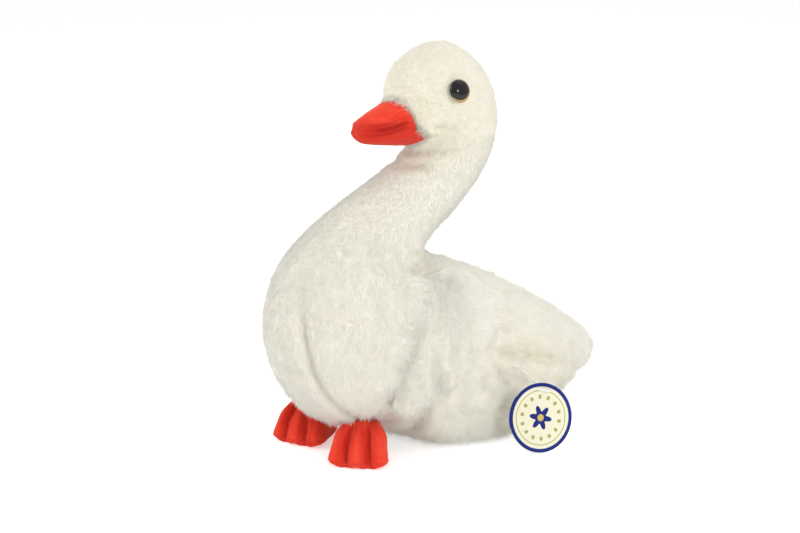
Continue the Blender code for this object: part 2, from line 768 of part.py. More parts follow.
def build_tag(parts, cutters, skin, panels, filling, card, nylon):
    """Build the folded card and the fastener that runs through it into the hip."""
    frame = tag_frame()
    thickness = 2 * TAG_CARD + TAG_LEAF_GAP
    shape = bmesh.new()
    bmesh.ops.create_cone(shape, cap_ends=True, segments=TAG_POINTS, radius1=0.5, radius2=0.5, depth=thickness)
    size = Matrix.Diagonal((TAG_WIDE, TAG_LONG, 1.0, 1.0))
    stand = Matrix.Rotation(math.pi / 2, 4, "X")
    bmesh.ops.transform(shape, matrix=frame @ stand @ size, verts=shape.verts)
    mesh = bpy.data.meshes.new("hang_tag")
    shape.to_mesh(mesh)
    shape.free()
    tag = add_object("hang_tag", mesh, parts, card)
    slot = box_cutter(
        "leaf_gap",
        (-TAG_WIDE, -TAG_LEAF_GAP / 2, -TAG_LONG),
        (TAG_WIDE / 2 - TAG_FOLD, TAG_LEAF_GAP / 2, TAG_LONG),
        cutters,
    )
    place_mesh(slot.data, frame)
    cut(tag, slot)

    hole = frame @ Vector((0.0, 0.0, TAG_LONG / 2 - TAG_HOLE_INSET))
    through = (frame.to_3x3() @ Vector((0.0, 1.0, 0.0))).normalized()
    root, normal = skin.hit((0.3, *FASTENER_ROOT), (-1.0, 0.0, 0.0))
    inside = root - normal * (PILE_CLOTH + 0.004)
    control = [
        inside,
        root,
        root + normal * 0.006,
        hole + through * 0.006,
        hole,
        hole - through * 0.0025,
    ]
    route = [inside, root]
    a, b, c, d = control[1], control[2], control[3], control[4]
    for k in range(1, 9):
        t = k / 9
        route.append((1 - t) ** 3 * a + 3 * (1 - t) ** 2 * t * b + 3 * (1 - t) * t**2 * c + t**3 * d)
    route += [control[4], control[5]]
    thread = add_object("tag_fastener", tube_mesh("tag_fastener", route, FASTENER_RADIUS, cutters), parts, nylon)
    cross = (frame.to_3x3() @ Vector((1.0, 0.0, 0.0))).normalized()
    for word, place, along in (("inner", inside, Vector((0.0, 0.3, 1.0))), ("outer", control[5], cross)):
        reach = along.normalized() * FASTENER_BAR / 2
        bar_mesh = tube_mesh("bar_" + word, [place - reach, place + reach], FASTENER_RADIUS * 1.25, cutters)
        boolean(thread, add_object("bar_" + word, bar_mesh, cutters), "UNION")
        if word == "inner":
            slack = [place - reach * 1.1, place + reach * 1.1]
            pocket = tube_mesh("bar_pocket", slack, FASTENER_RADIUS * 1.25 + SEAM_GAP, cutters)
            cut(filling, add_object("bar_pocket", pocket, cutters))
    bore = tube_mesh("fastener_bore", route, FASTENER_RADIUS + SEAM_GAP, cutters)
    bore_cutter = add_object("fastener_bore", bore, cutters)
    cut(panels["left"], bore_cutter)
    cut(filling, bore_cutter)
    cut(tag, bore_cutter)


def main():
    """Build the swan."""
    clear_scene()
    parts = new_collection("plush_swan")
    cutters = new_collection("cutters")
    pile = finish("white_pile", (0.88, 0.86, 0.81), 0.95)
    lining = finish("white_lining", (0.86, 0.84, 0.80), 0.80)
    velour = finish("red_velour", (0.72, 0.06, 0.03), 0.85)
    wadding = finish("polyester_wadding", (0.90, 0.90, 0.90), 1.0)
    eye_plastic = finish("eye_plastic", (0.012, 0.008, 0.006), 0.08)
    washer_plastic = finish("washer_plastic", (0.80, 0.80, 0.78), 0.50)
    card = finish("tag_card", (0.80, 0.78, 0.62), 0.45)
    nylon = finish("clear_nylon", (0.85, 0.85, 0.85), 0.30)

    skin, panels, gusset, filling = build_body(parts, cutters, pile, wadding)
    build_eyes(parts, cutters, skin, panels, filling, eye_plastic, washer_plastic)
    build_beak(parts, cutters, velour, wadding)
    build_wings(parts, skin, pile, lining, wadding)
    build_feet(parts, cutters, velour, wadding)
    build_tag(parts, cutters, skin, panels, filling, card, nylon)
    crease_seams(skin, (*panels.values(), gusset), cutters)


main()
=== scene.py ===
"""Looks of a sitting plush swan: stuffed bags of pile cloth and velour, moulded eyes and a card tag.

The swan looks along -Y, its left side is +X, and it rests on Z = 0. All lengths are metres.
"""

import logging
import math
from collections.abc import Sequence
from dataclasses import dataclass, field, replace
from enum import Enum
from typing import Union

import bmesh
import bpy
import numpy as np
from bpy.types import Material, Mesh, Node, NodeSocket as Socket, NodeTree, Object
from mathutils import Matrix, Vector
from mathutils.bvhtree import BVHTree


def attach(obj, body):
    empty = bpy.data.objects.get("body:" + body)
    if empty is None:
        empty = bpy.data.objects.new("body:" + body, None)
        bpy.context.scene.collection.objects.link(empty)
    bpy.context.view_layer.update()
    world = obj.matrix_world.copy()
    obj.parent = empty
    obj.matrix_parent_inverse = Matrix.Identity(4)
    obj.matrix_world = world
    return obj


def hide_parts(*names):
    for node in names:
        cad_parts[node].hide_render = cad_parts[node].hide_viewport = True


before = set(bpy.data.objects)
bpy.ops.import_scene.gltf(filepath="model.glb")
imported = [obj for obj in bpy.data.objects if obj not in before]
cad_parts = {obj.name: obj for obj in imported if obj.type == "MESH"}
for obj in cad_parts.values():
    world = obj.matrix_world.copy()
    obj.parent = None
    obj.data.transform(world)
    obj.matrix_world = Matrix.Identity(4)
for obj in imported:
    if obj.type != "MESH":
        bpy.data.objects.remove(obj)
LOG = logging.getLogger("plush_swan")
ROOT_BODY = "root"
PIECE_LIMIT = 190_000
STRAND_FACES = 3
PRESSURE_FRAMES = 20

Feed = Union[Socket, float, tuple]
Colour = tuple[float, float, float]


class Slot(Enum):
    """The record's material slots, one for each kind of finish."""

    PILE = "white_pile"
    VELOUR = "red_velour"
    EYE = "eye_plastic"
    CARD = "tag_card"


class Side(Enum):
    """The swan's sides, each with the sign of its X."""

    LEFT = 1
    RIGHT = -1

    @property
    def word(self) -> str:
        """The side's word in a piece's name."""
        return self.name.lower()


# Mesh helpers


def read_points(mesh: Mesh, attribute: str = "co") -> np.ndarray:
    """Read one vector for each vertex.

    Args:
        mesh: The mesh to read.
        attribute: "co" for places or "normal" for directions.

    Returns:
        An array with a row for each vertex.
    """
    flat = np.empty(len(mesh.vertices) * 3, np.float32)
    mesh.vertices.foreach_get(attribute, flat)
    return flat.reshape(-1, 3).astype(float)


def write_points(mesh: Mesh, points: np.ndarray) -> None:
    """Move a mesh's vertices.

    Args:
        mesh: The mesh to change.
        points: The new places, a row for each vertex.
    """
    mesh.vertices.foreach_set("co", points.astype(np.float32).ravel())
    mesh.update()


def write_attribute(mesh: Mesh, name: str, values: np.ndarray) -> None:
    """Store numbers or vectors on the vertices.

    Args:
        mesh: The mesh to change.
        name: The attribute's name.
        values: One number or one row of three for each vertex.
    """
    vector = values.ndim == 2
    kind, key = ("FLOAT_VECTOR", "vector") if vector else ("FLOAT", "value")
    layer = mesh.attributes.get(name) or mesh.attributes.new(name, kind, "POINT")
    layer.data.foreach_set(key, values.astype(np.float32).ravel())


def read_attribute(mesh: Mesh, name: str) -> np.ndarray:
    """Read the numbers or vectors stored on the vertices.

    Args:
        mesh: The mesh to read.
        name: The attribute's name.

    Returns:
        One number or one row of three for each vertex.
    """
    layer = mesh.attributes[name]
    vector = layer.data_type == "FLOAT_VECTOR"
    flat = np.empty(len(mesh.vertices) * (3 if vector else 1), np.float32)
    layer.data.foreach_get("vector" if vector else "value", flat)
    return flat.reshape(-1, 3) if vector else flat


def mesh_of(shape: bmesh.types.BMesh, name: str) -> Mesh:
    """Turn an edited shape into a new mesh.

    Args:
        shape: The shape, which is freed.
        name: The mesh's name.

    Returns:
        The mesh.
    """
    mesh = bpy.data.meshes.new(name)
    shape.to_mesh(mesh)
    shape.free()
    return mesh


def bridge(shape: bmesh.types.BMesh, rows: list[list[bmesh.types.BMVert]]) -> None:
    """Join neighbouring rows of corners with faces, all the way round.

    Args:
        shape: The shape being made.
        rows: The rows, each with as many corners as the widest, or with one at a pole.
    """
    steps = max(len(row) for row in rows)
    for low, high in zip(rows, rows[1:]):
        for k in range(steps):
            j = (k + 1) % steps
            corners = (low[k % len(low)], low[j % len(low)], high[j % len(high)], high[k % len(high)])
            shape.faces.new(dict.fromkeys(corners))


def add_piece(name: str, mesh: Mesh, *materials: Material) -> Object:
    """Put a mesh in the scene as a smooth piece.

    Args:
        name: The piece's name.
        mesh: Its mesh.
        materials: The finishes that it wears.

    Returns:
        The new object, at the origin.
    """
    mesh.name = name
    piece = bpy.data.objects.new(name, mesh)
    bpy.context.scene.collection.objects.link(piece)
    for material in materials:
        mesh.materials.append(material)
    mesh.shade_smooth()
    return piece


def flatten(piece: Object) -> None:
    """Turn what a piece's modifiers make into its plain mesh.

    Args:
        piece: The piece, which keeps no modifier.
    """
    graph = bpy.context.evaluated_depsgraph_get()
    mesh = bpy.data.meshes.new_from_object(piece.evaluated_get(graph))
    old = piece.data
    piece.modifiers.clear()
    piece.data = mesh
    bpy.data.meshes.remove(old)
    mesh.shade_smooth()


def joined_nodes(names: tuple[str, ...]) -> Mesh:
    """Copy several of the frame's solids into one mesh, with their corners merged.

    Args:
        names: The solids' nodes.

    Returns:
        The mesh.
    """
    shape = bmesh.new()
    for name in names:
        shape.from_mesh(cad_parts[name].data)
    bmesh.ops.remove_doubles(shape, verts=shape.verts, dist=1e-6)
    return mesh_of(shape, "joined")


def keep_largest_shell(mesh: Mesh) -> None:
    """Delete every closed shell but the one with the most vertices.

    Args:
        mesh: The mesh to change.
    """
    shape = bmesh.new()
    shape.from_mesh(mesh)
    left = set(shape.verts)
    shells = []
    while left:
        shell = set()
        front = [left.pop()]
        while front:
            corner = front.pop()
            shell.add(corner)
            near = {edge.other_vert(corner) for edge in corner.link_edges} & left
            left -= near
            front += near
        shells.append(shell)
    largest = max(shells, key=len)
    loose = [corner for shell in shells if shell is not largest for corner in shell]
    bmesh.ops.delete(shape, geom=loose, context="VERTS")
    shape.to_mesh(mesh)
    shape.free()


def surface_of(mesh: Mesh) -> BVHTree:
    """Return a mesh's surface for nearest-point questions."""
    return BVHTree.FromPolygons([v.co for v in mesh.vertices], [p.vertices for p in mesh.polygons])


def signed_distance(points: np.ndarray, surface: BVHTree, deepest: float = 0.005) -> np.ndarray:
    """Measure how far points lie outside a closed surface, below zero inside it.

    Args:
        points: The places, a row for each.
        surface: The surface.
        deepest: How deep inside a point may lie; one that is farther off counts as outside.

    Returns:
        The distances.
    """
    gaps = np.empty(len(points))
    for row, point in enumerate(points):
        near, normal, _, gap = surface.find_nearest(Vector(point))
        inside = gap < deepest and (Vector(point) - near).dot(normal) < 0
        gaps[row] = -gap if inside else gap
    return gaps


def distance(points: np.ndarray, place: Sequence[float]) -> np.ndarray:
    """Measure how far points lie from one place."""
    return np.linalg.norm(points - np.array(place), axis=1)


def polyline_distance(points: np.ndarray, path: list[Vector]) -> tuple[np.ndarray, np.ndarray]:
    """Measure how far points lie from a polyline, and how far along it.

    Args:
        points: The places, a row for each.
        path: The polyline's corners.

    Returns:
        The distances, and the shares of the way along, from 0 to 1.
    """
    best = np.full(len(points), np.inf)
    along = np.zeros(len(points))
    spans = len(path) - 1
    for k in range(spans):
        start = np.array(path[k])
        run = np.array(path[k + 1]) - start
        share = np.clip((points - start) @ run / max(run @ run, 1e-12), 0, 1)
        gap = np.linalg.norm(points - start - share[:, None] * run, axis=1)
        closer = gap < best
        best[closer] = gap[closer]
        along[closer] = (k + share[closer]) / spans
    return best, along


def smooth_step(values: np.ndarray, low: float, high: float) -> np.ndarray:
    """Rise smoothly from 0 at the low value to 1 at the high value."""
    share = np.clip((values - low) / (high - low), 0, 1)
    return share * share * (3 - 2 * share)


def nearness(gaps: np.ndarray, width: float) -> np.ndarray:
    """Fall softly from 1, where a gap is zero or less, over a width."""
    return np.exp(-((np.maximum(gaps, 0) / width) ** 2))


def unit(vectors: np.ndarray) -> np.ndarray:
    """Scale each row to a length of 1."""
    return vectors / np.maximum(np.linalg.norm(vectors, axis=1, keepdims=True), 1e-9)


def millimetres(*values: float) -> Vector:
    """Return a place given in millimetres."""
    return Vector(values) / 1000


def mirror(place: Vector) -> Vector:
    """Return the same place on the swan's other side."""
    return Vector((-place.x, place.y, place.z))


def declare(piece: Object, slot: Slot, *nodes: str) -> None:
    """Hang a finished piece on the root body, hide the frame's solids that it replaces, and report its
    triangles.

    Args:
        piece: The piece.
        slot: The material slot that it takes its finish from; not used.
        nodes: The frame's solids that it replaces.
    """
    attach(piece, ROOT_BODY)
    if nodes:
        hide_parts(*nodes)
    LOG.info("%s: %d triangles", piece.name, sum(len(p.vertices) - 2 for p in piece.data.polygons))


# Stuffed bags


@dataclass(frozen=True)
class Fold:
    """A crease that dents a stuffed bag, with a soft roll on each side.

    Attributes:
        path: Places along it.
        width: How far its walls reach to each side.
        depth: How deep it is at its middle.
        roll: The height of the soft rolls beside it, as a share of the depth.
        fade: Whether it runs out at both ends.
        crease_shade: How much painted shade, warmer and darker, is laid in the fold and on its rolls, from
            0 to 1.
    """

    path: tuple[Vector, ...]
    width: float = 0.0035
    depth: float = 0.0020
    roll: float = 0.25
    fade: bool = True
    crease_shade: float = 0.0

    def mirrored(self) -> "Fold":
        """Return the same fold on the other side."""
        return replace(self, path=tuple(mirror(place) for place in self.path))

    def reach(self, points: np.ndarray, surface: BVHTree) -> tuple[np.ndarray, np.ndarray]:
        """Weigh the fold at each point.

        Args:
            points: The bag's vertices.
            surface: The bag's surface, on which the path is laid.

        Returns:
            The dent's weight, and the rolls' weight.
        """
        laid = [surface.find_nearest(p)[0] for p in self.path]
        gap, along = polyline_distance(points, laid)
        strength = np.sin(np.pi * np.clip(along, 0.02, 0.98)) ** 0.5 if self.fade else 1.0
        beside = np.abs(gap - 2.1 * self.width)
        return nearness(gap, self.width) * strength, nearness(beside, self.width) * strength


@dataclass(frozen=True)
class Bulge:
    """A soft swelling of a stuffed bag, or a hollow where its height is below zero.

    Attributes:
        place: Its middle.
        reach: How far it spreads.
        height: How far it stands out.
    """

    place: Vector
    reach: float
    height: float

    def mirrored(self) -> "Bulge":
        """Return the same bulge on the other side."""
        return replace(self, place=mirror(self.place))

    def push(self, points: np.ndarray) -> np.ndarray:
        """Return how far each point is pushed out."""
        return self.height * nearness(distance(points, self.place), self.reach)


def folds_from(*rows: tuple) -> list[Fold]:
    """Make folds from rows of width, depth, roll, painted crease shade and the path's places in
    millimetres.
    """
    return [Fold(tuple(millimetres(*p) for p in path), *sizes, crease_shade=crease_shade) for *sizes, crease_shade, path in rows]


def both_sides(left: list[Fold] | list[Bulge]) -> list[Fold] | list[Bulge]:
    """Return the left side's folds or bulges, and the same on the right."""
    return left + [item.mirrored() for item in left]


@dataclass
class StuffedBag:
    """A closed bag of cloth, filled tight: its form comes from the frame and from pressure.

    Attributes:
        name: The piece's name.
        nodes: The frame's solids that it stands for.
        voxel: The grid that its surface is made on.
        inset: How far its cloth lies inside the solids.
        swell: The most that pressure may move its cloth.
        pressure: The pressure inside it.
        relax: How many times its surface is smoothed.
        fill: How tight it is stuffed; not used.
    """

    name: str
    nodes: tuple[str, ...]
    voxel: float
    inset: float
    swell: float
    pressure: float = 4.0
    relax: int = 10
    fill: float = 0.8

    def form(self) -> Object:
        """Make the bag's surface from the frame's solids.

        Returns:
            The bag as a piece, without its material.
        """
        piece = add_piece(self.name, joined_nodes(self.nodes))
        grid = piece.modifiers.new("Grid", "REMESH")
        grid.mode = "VOXEL"
        grid.voxel_size = self.voxel
        ease = piece.modifiers.new("Ease", "SMOOTH")
        ease.factor = 0.5
        ease.iterations = self.relax
        flatten(piece)
        keep_largest_shell(piece.data)
        points = read_points(piece.data)
        write_points(piece.data, points - read_points(piece.data, "normal") * self.inset)
        return piece

    def inflate(self, piece: Object, held: np.ndarray) -> None:
        """Let pressure swell the cloth between the places that hold it.

        Args:
            piece: The bag.
            held: How firmly each vertex is held, from 0 to 1.
        """
        start = read_points(piece.data)
        group = piece.vertex_groups.new(name="held")
        for row in np.flatnonzero(held > 0.02):
            group.add([int(row)], float(min(held[row], 1.0)), "REPLACE")
        cloth = piece.modifiers.new("Pressure", "CLOTH")
        settings = cloth.settings
        settings.quality = 6
        settings.mass = 0.15
        settings.tension_stiffness = settings.compression_stiffness = 10
        settings.shear_stiffness = 4
        settings.bending_stiffness = 0.4
        settings.use_pressure = True
        settings.uniform_pressure_force = self.pressure
        settings.effector_weights.gravity = 0
        settings.vertex_group_mass = group.name
        cloth.point_cache.frame_start, cloth.point_cache.frame_end = 1, PRESSURE_FRAMES
        for step in range(1, PRESSURE_FRAMES + 1):
            bpy.context.scene.frame_set(step)
        flatten(piece)
        piece.vertex_groups.clear()
        bpy.context.scene.frame_set(1)
        moves = read_points(piece.data) - start
        length = np.linalg.norm(moves, axis=1, keepdims=True)
        write_points(piece.data, start + moves * np.minimum(1, self.swell / np.maximum(length, 1e-9)))

    def refine(self, piece: Object) -> None:
        """Halve the size of the bag's faces.

        Args:
            piece: The bag.
        """
        rounding = piece.modifiers.new("Rounding", "SUBSURF")
        rounding.levels = rounding.render_levels = 1
        flatten(piece)

    def swell_at(self, piece: Object, bulges: list[Bulge]) -> None:
        """Push the bag out where it is stuffed harder.

        Args:
            piece: The bag.
            bulges: Where, and how far.
        """
        points = read_points(piece.data)
        push = sum(bulge.push(points) for bulge in bulges)
        write_points(piece.data, points + read_points(piece.data, "normal") * push[:, None])

    def crease(self, piece: Object, folds: list[Fold]) -> np.ndarray:
        """Press folds into the bag, and weigh the painted shade that they lay on it.

        Args:
            piece: The bag.
            folds: Its folds.

        Returns:
            How much painted shade, warmer and darker, lies at each vertex, from 0 to 1.
        """
        mesh = piece.data
        points, normals = read_points(mesh), read_points(mesh, "normal")
        surface = surface_of(mesh)
        push, crease_shade = np.zeros(len(points)), np.zeros(len(points))
        for fold in folds:
            dent, rolls = fold.reach(points, surface)
            push += fold.depth * (fold.roll * rolls - dent)
            # Painted shade: full in each dent, and weaker on the rolls beside it.
            crease_shade = np.maximum(crease_shade, fold.crease_shade * np.maximum(dent, 0.6 * rolls))
        write_points(mesh, points + normals * push[:, None])
        return crease_shade

    def declare(self, piece: Object, slot: Slot) -> None:
        """Hang the finished bag on the root body and hide the frame's solids that it stands for."""
        declare(piece, slot, *self.nodes)


# Finishes


class Tree:
    """A node tree that is built node by node."""

    def __init__(self, nodes: NodeTree) -> None:
        """Start on an empty tree."""
        self.nodes = nodes
        nodes.nodes.clear()

    def add(self, kind: str, inputs: dict | None = None, **settings: object) -> Node:
        """Add a node.

        Args:
            kind: The node's type.
            inputs: Values, or sockets to link, by input name or number.
            settings: The node's own options.

        Returns:
            The new node.
        """
        node = self.nodes.nodes.new(kind)
        for key, value in settings.items():
            setattr(node, key, value)
        for key, value in (inputs or {}).items():
            if isinstance(value, Socket):
                self.nodes.links.new(value, node.inputs[key])
            else:
                node.inputs[key].default_value = value
        return node

    def out(self, kind: str, inputs: dict | None = None, **settings: object) -> Socket:
        """Add a node and return its first output."""
        return self.add(kind, inputs, **settings).outputs[0]

    def math(self, operation: str, first: Feed, second: Feed = 0.0) -> Socket:
        """Work out one number from two."""
        return self.out("ShaderNodeMath", {0: first, 1: second}, operation=operation)

    def vector(self, operation: str, first: Feed, second: Feed) -> Socket:
        """Work out one vector from two."""
        return self.out("ShaderNodeVectorMath", {0: first, 1: second}, operation=operation)

    def scaled(self, first: Feed, factor: Feed) -> Socket:
        """Scale a vector by a number."""
        return self.out("ShaderNodeVectorMath", {0: first, "Scale": factor}, operation="SCALE")

    def blend(self, share: Feed, first: Socket | Colour, second: Socket | Colour) -> Socket:
        """Blend two colours.

        Args:
            share: The second colour's share.
            first: The first colour.
            second: The second colour.

        Returns:
            The blend.
        """
        pair = [(*colour, 1.0) if isinstance(colour, tuple) else colour for colour in (first, second)]
        return self.add("ShaderNodeMix", {0: share, 6: pair[0], 7: pair[1]}, data_type="RGBA").outputs[2]

    def band(self, value: Feed, low: float, high: float) -> Socket:
        """Rise smoothly from 0 at the low value to 1 at the high value."""
        inputs = {"Value": value, "From Min": low, "From Max": high}
        return self.out("ShaderNodeMapRange", inputs, interpolation_type="SMOOTHSTEP")

    def spread(self, value: Feed, low: float, high: float) -> Socket:
        """Stretch the range from 0 to 1 to that from low to high."""
        return self.out("ShaderNodeMapRange", {"Value": value, "To Min": low, "To Max": high})

    def bump(self, strength: float, distance: float, height: Socket) -> Socket:
        """Turn a height into a bumped normal."""
        return self.out("ShaderNodeBump", {"Strength": strength, "Distance": distance, "Height": height})

    def vector_length(self, place: Feed) -> Socket:
        """Measure a vector."""
        return self.add("ShaderNodeVectorMath", {0: place}, operation="LENGTH").outputs["Value"]

    def grain(self, place: Feed, scale: Feed, detail: float = 2.0) -> Socket:
        """Read a noise at a place."""
        return self.out("ShaderNodeTexNoise", {"Vector": place, "Scale": scale, "Detail": detail})

    def place(self) -> Socket:
        """Read the place on the object."""
        return self.add("ShaderNodeTexCoord").outputs["Object"]

    def attribute(self, name: str) -> Socket:
        """Read a number stored on the vertices."""
        return self.add("ShaderNodeAttribute", attribute_name=name).outputs["Fac"]


class Finish:
    """A look, made as a material with one Principled shader."""

    name: str

    def make(self) -> Material:
        """Make the material.

        Returns:
            The material.
        """
        material = bpy.data.materials.new(self.name)
        material.use_nodes = True
        tree = Tree(material.node_tree)
        shader = tree.add("ShaderNodeBsdfPrincipled", self.inputs(tree))
        tree.add("ShaderNodeOutputMaterial", {"Surface": shader.outputs[0]})
        material.diffuse_color = shader.inputs["Base Color"].default_value
        return material

    def inputs(self, tree: Tree) -> dict[str, Feed]:
        """Return the shader's inputs by name; each finish has its own."""
        raise NotImplementedError


@dataclass(frozen=True)
class PileGround(Finish):
    """The knitted ground of pile cloth, seen between the strands: soft white in random patches, with
    painted shade, warmer and darker, in its folds, along its seams, under the tail and over the head,
    where it is partly the head's own cream.
    """

    name: str = "pile_ground"
    light: Colour = (0.910, 0.886, 0.785)
    shade: Colour = (0.860, 0.828, 0.705)
    # Cream: the colour that the painted shade blends to, and partly the head's own cream.
    cream: Colour = (0.830, 0.760, 0.560)

    def inputs(self, tree: Tree) -> dict[str, Feed]:
        """Return the shader's inputs.

        Args:
            tree: The material's tree.

        Returns:
            The inputs by name.
        """
        place = tree.place()
        patches = tree.band(tree.grain(place, 60.0, 4.0), 0.35, 0.70)
        tufts = tree.grain(place, 700.0, 3.0)
        white = tree.blend(patches, self.light, self.shade)
        white = tree.blend(tree.math("MULTIPLY", tufts, 0.35), white, self.shade)
        relief = tree.math("ADD", tree.grain(place, 1100.0, 2.0), tree.grain(place, 320.0, 3.0))
        return {
            # Painted shade: the ground blends to cream where the cloth carries it.
            "Base Color": tree.blend(tree.attribute("pile_tint"), white, self.cream),
            "Roughness": 0.95,
            "Specular IOR Level": 0.15,
            "Sheen Weight": 0.15,
            "Sheen Roughness": 0.6,
            "Normal": tree.bump(0.6, 0.0006, relief),
        }


@dataclass(frozen=True)
class StrandFinish(Finish):
    """One colour of pile strand, with a sheen that varies from strand to strand."""

    name: str
    colour: Colour

    def inputs(self, tree: Tree) -> dict[str, Feed]:
        """Return the shader's inputs.

        Args:
            tree: The material's tree.

        Returns:
            The inputs by name.
        """
        dull = tree.band(tree.grain(tree.place(), 900.0), 0.30, 0.70)
        return {
            "Base Color": (*self.colour, 1.0),
            "Roughness": tree.spread(dull, 0.75, 1.0),
            "Specular IOR Level": 0.15,
            "Sheen Weight": 0.20,
            "Sheen Roughness": 0.5,
        }


@dataclass(frozen=True)
class VelourFinish(Finish):
    """Short-napped red velour, paler where the nap lies over, with painted shade, a deeper red, in its
    stitched folds and on the beak's underside.
    """

    name: str = "velour"
    colour: Colour = (0.760, 0.043, 0.018)
    # Deep: the red of the painted shade, and of the darker nap at random.
    deep: Colour = (0.400, 0.012, 0.006)
    pale: Colour = (0.860, 0.088, 0.047)

    def inputs(self, tree: Tree) -> dict[str, Feed]:
        """Return the shader's inputs.

        Args:
            tree: The material's tree.

        Returns:
            The inputs by name.
        """
        place = tree.place()
        lay = tree.band(tree.grain(place, 130.0, 3.0), 0.40, 0.75)
        nap = tree.grain(place, 1900.0, 3.0)
        red = tree.blend(tree.math("MULTIPLY", lay, 0.55), self.colour, self.pale)
        red = tree.blend(tree.math("MULTIPLY", tree.band(nap, 0.35, 0.65), 0.22), red, self.deep)
        return {
            # Painted shade: the velour blends to the deep red where the cloth carries it.
            "Base Color": tree.blend(tree.attribute("pile_tint"), red, self.deep),
            "Roughness": 0.85,
            "Specular IOR Level": 0.20,
            "Sheen Weight": 0.25,
            "Sheen Roughness": 0.4,
            "Sheen Tint": (1.0, 0.45, 0.35, 1.0),
            "Normal": tree.bump(0.5, 0.0003, nap),
        }


@dataclass(frozen=True)
class EyeFinish(Finish):
    """Moulded eye: a black pupil in a gold ring under a hard gloss."""

    name: str = "eye_gloss"
    pupil: Colour = (0.004, 0.003, 0.003)
    gold: Colour = (0.520, 0.340, 0.130)
    ring_start: float = 0.87

    def inputs(self, tree: Tree) -> dict[str, Feed]:
        """Return the shader's inputs.

        Args:
            tree: The material's tree.

        Returns:
            The inputs by name.
        """
        flecks = tree.grain(tree.place(), 2400.0, 2.0)
        radius = tree.math("ADD", tree.attribute("eye_radius"), tree.math("MULTIPLY", flecks, 0.02))
        ring = tree.band(radius, self.ring_start - 0.03, self.ring_start + 0.04)
        gold = tree.blend(flecks, self.gold, tuple(0.6 * c for c in self.gold))
        return {
            "Base Color": tree.blend(ring, self.pupil, gold),
            "Roughness": tree.spread(flecks, 0.03, 0.07),
            "Specular IOR Level": 0.32,
        }


@dataclass(frozen=True)
class CardFinish(Finish):
    """Coated card: a navy rim round a cream field, with a plain rosette and a ring of dots.

    Attributes:
        rim: Where the rim starts, as a share of the way to the card's edge, as are the next four.
        petal: The rosette's middle reach, and how far its petals swing about it.
        heart: The reach of the rosette's heart.
        dot_ring: The middle of the ring of dots, and half its width.
        line_ring: The middle of the thin ring, and half its width.
        dots: How many dots there are.
        petals: How many petals there are.
    """

    name: str = "printed_card"
    navy: Colour = (0.004, 0.014, 0.165)
    cream: Colour = (0.780, 0.760, 0.600)
    olive: Colour = (0.330, 0.340, 0.090)
    gold: Colour = (0.560, 0.420, 0.110)
    rim: float = 0.89
    petal: tuple[float, float] = (0.27, 0.09)
    heart: float = 0.10
    dot_ring: tuple[float, float] = (0.60, 0.055)
    line_ring: tuple[float, float] = (0.78, 0.012)
    dots: int = 14
    petals: int = 6

    def inputs(self, tree: Tree) -> dict[str, Feed]:
        """Return the shader's inputs.

        Args:
            tree: The material's tree.

        Returns:
            The inputs by name.
        """
        across, upward = tree.attribute("card_across"), tree.attribute("card_up")
        squares = [tree.math("POWER", side, 2.0) for side in (across, upward)]
        radius = tree.math("SQRT", tree.math("ADD", *squares))
        turn = tree.math("ARCTAN2", upward, across)
        fibres = tree.grain(tree.place(), 1500.0, 3.0)
        counts = (float(self.petals), float(self.dots))
        waves = [tree.math("COSINE", tree.math("MULTIPLY", turn, count)) for count in counts]
        edge = tree.math("ADD", tree.math("MULTIPLY", waves[0], self.petal[1]), self.petal[0])
        near = [
            tree.math("SUBTRACT", half, tree.math("ABSOLUTE", tree.math("SUBTRACT", radius, middle)))
            for middle, half in (self.dot_ring, self.line_ring)
        ]
        spots = tree.math("MULTIPLY", tree.band(waves[1], 0.45, 0.55), tree.band(near[0], -0.01, 0.01))
        layers = (
            (tree.band(tree.math("SUBTRACT", edge, radius), -0.01, 0.01), self.navy),
            (tree.band(tree.math("SUBTRACT", self.heart, radius), -0.01, 0.01), self.gold),
            (spots, self.olive),
            (tree.band(near[1], -0.006, 0.006), self.olive),
            (tree.band(radius, self.rim - 0.01, self.rim + 0.01), self.navy),
        )
        colour = tree.blend(tree.math("MULTIPLY", fibres, 0.20), self.cream, self.gold)
        for share, ink in layers:
            colour = tree.blend(share, colour, ink)
        bump = tree.bump(0.15, 0.0001, fibres)
        return {"Base Color": colour, "Roughness": 0.42, "Specular IOR Level": 0.25, "Normal": bump}


@dataclass(frozen=True)
class MouldedFinish(Finish):
    """Plain moulded plastic with fine flow marks."""

    name: str
    colour: Colour
    roughness: float

    def inputs(self, tree: Tree) -> dict[str, Feed]:
        """Return the shader's inputs.

        Args:
            tree: The material's tree.

        Returns:
            The inputs by name.
        """
        marks = tree.grain(tree.place(), 800.0, 3.0)
        return {
            "Base Color": tree.blend(marks, self.colour, tuple(0.85 * c for c in self.colour)),
            "Roughness": self.roughness,
            "Normal": tree.bump(0.2, 0.0001, marks),
        }


# Pile and stitches, by Geometry Nodes


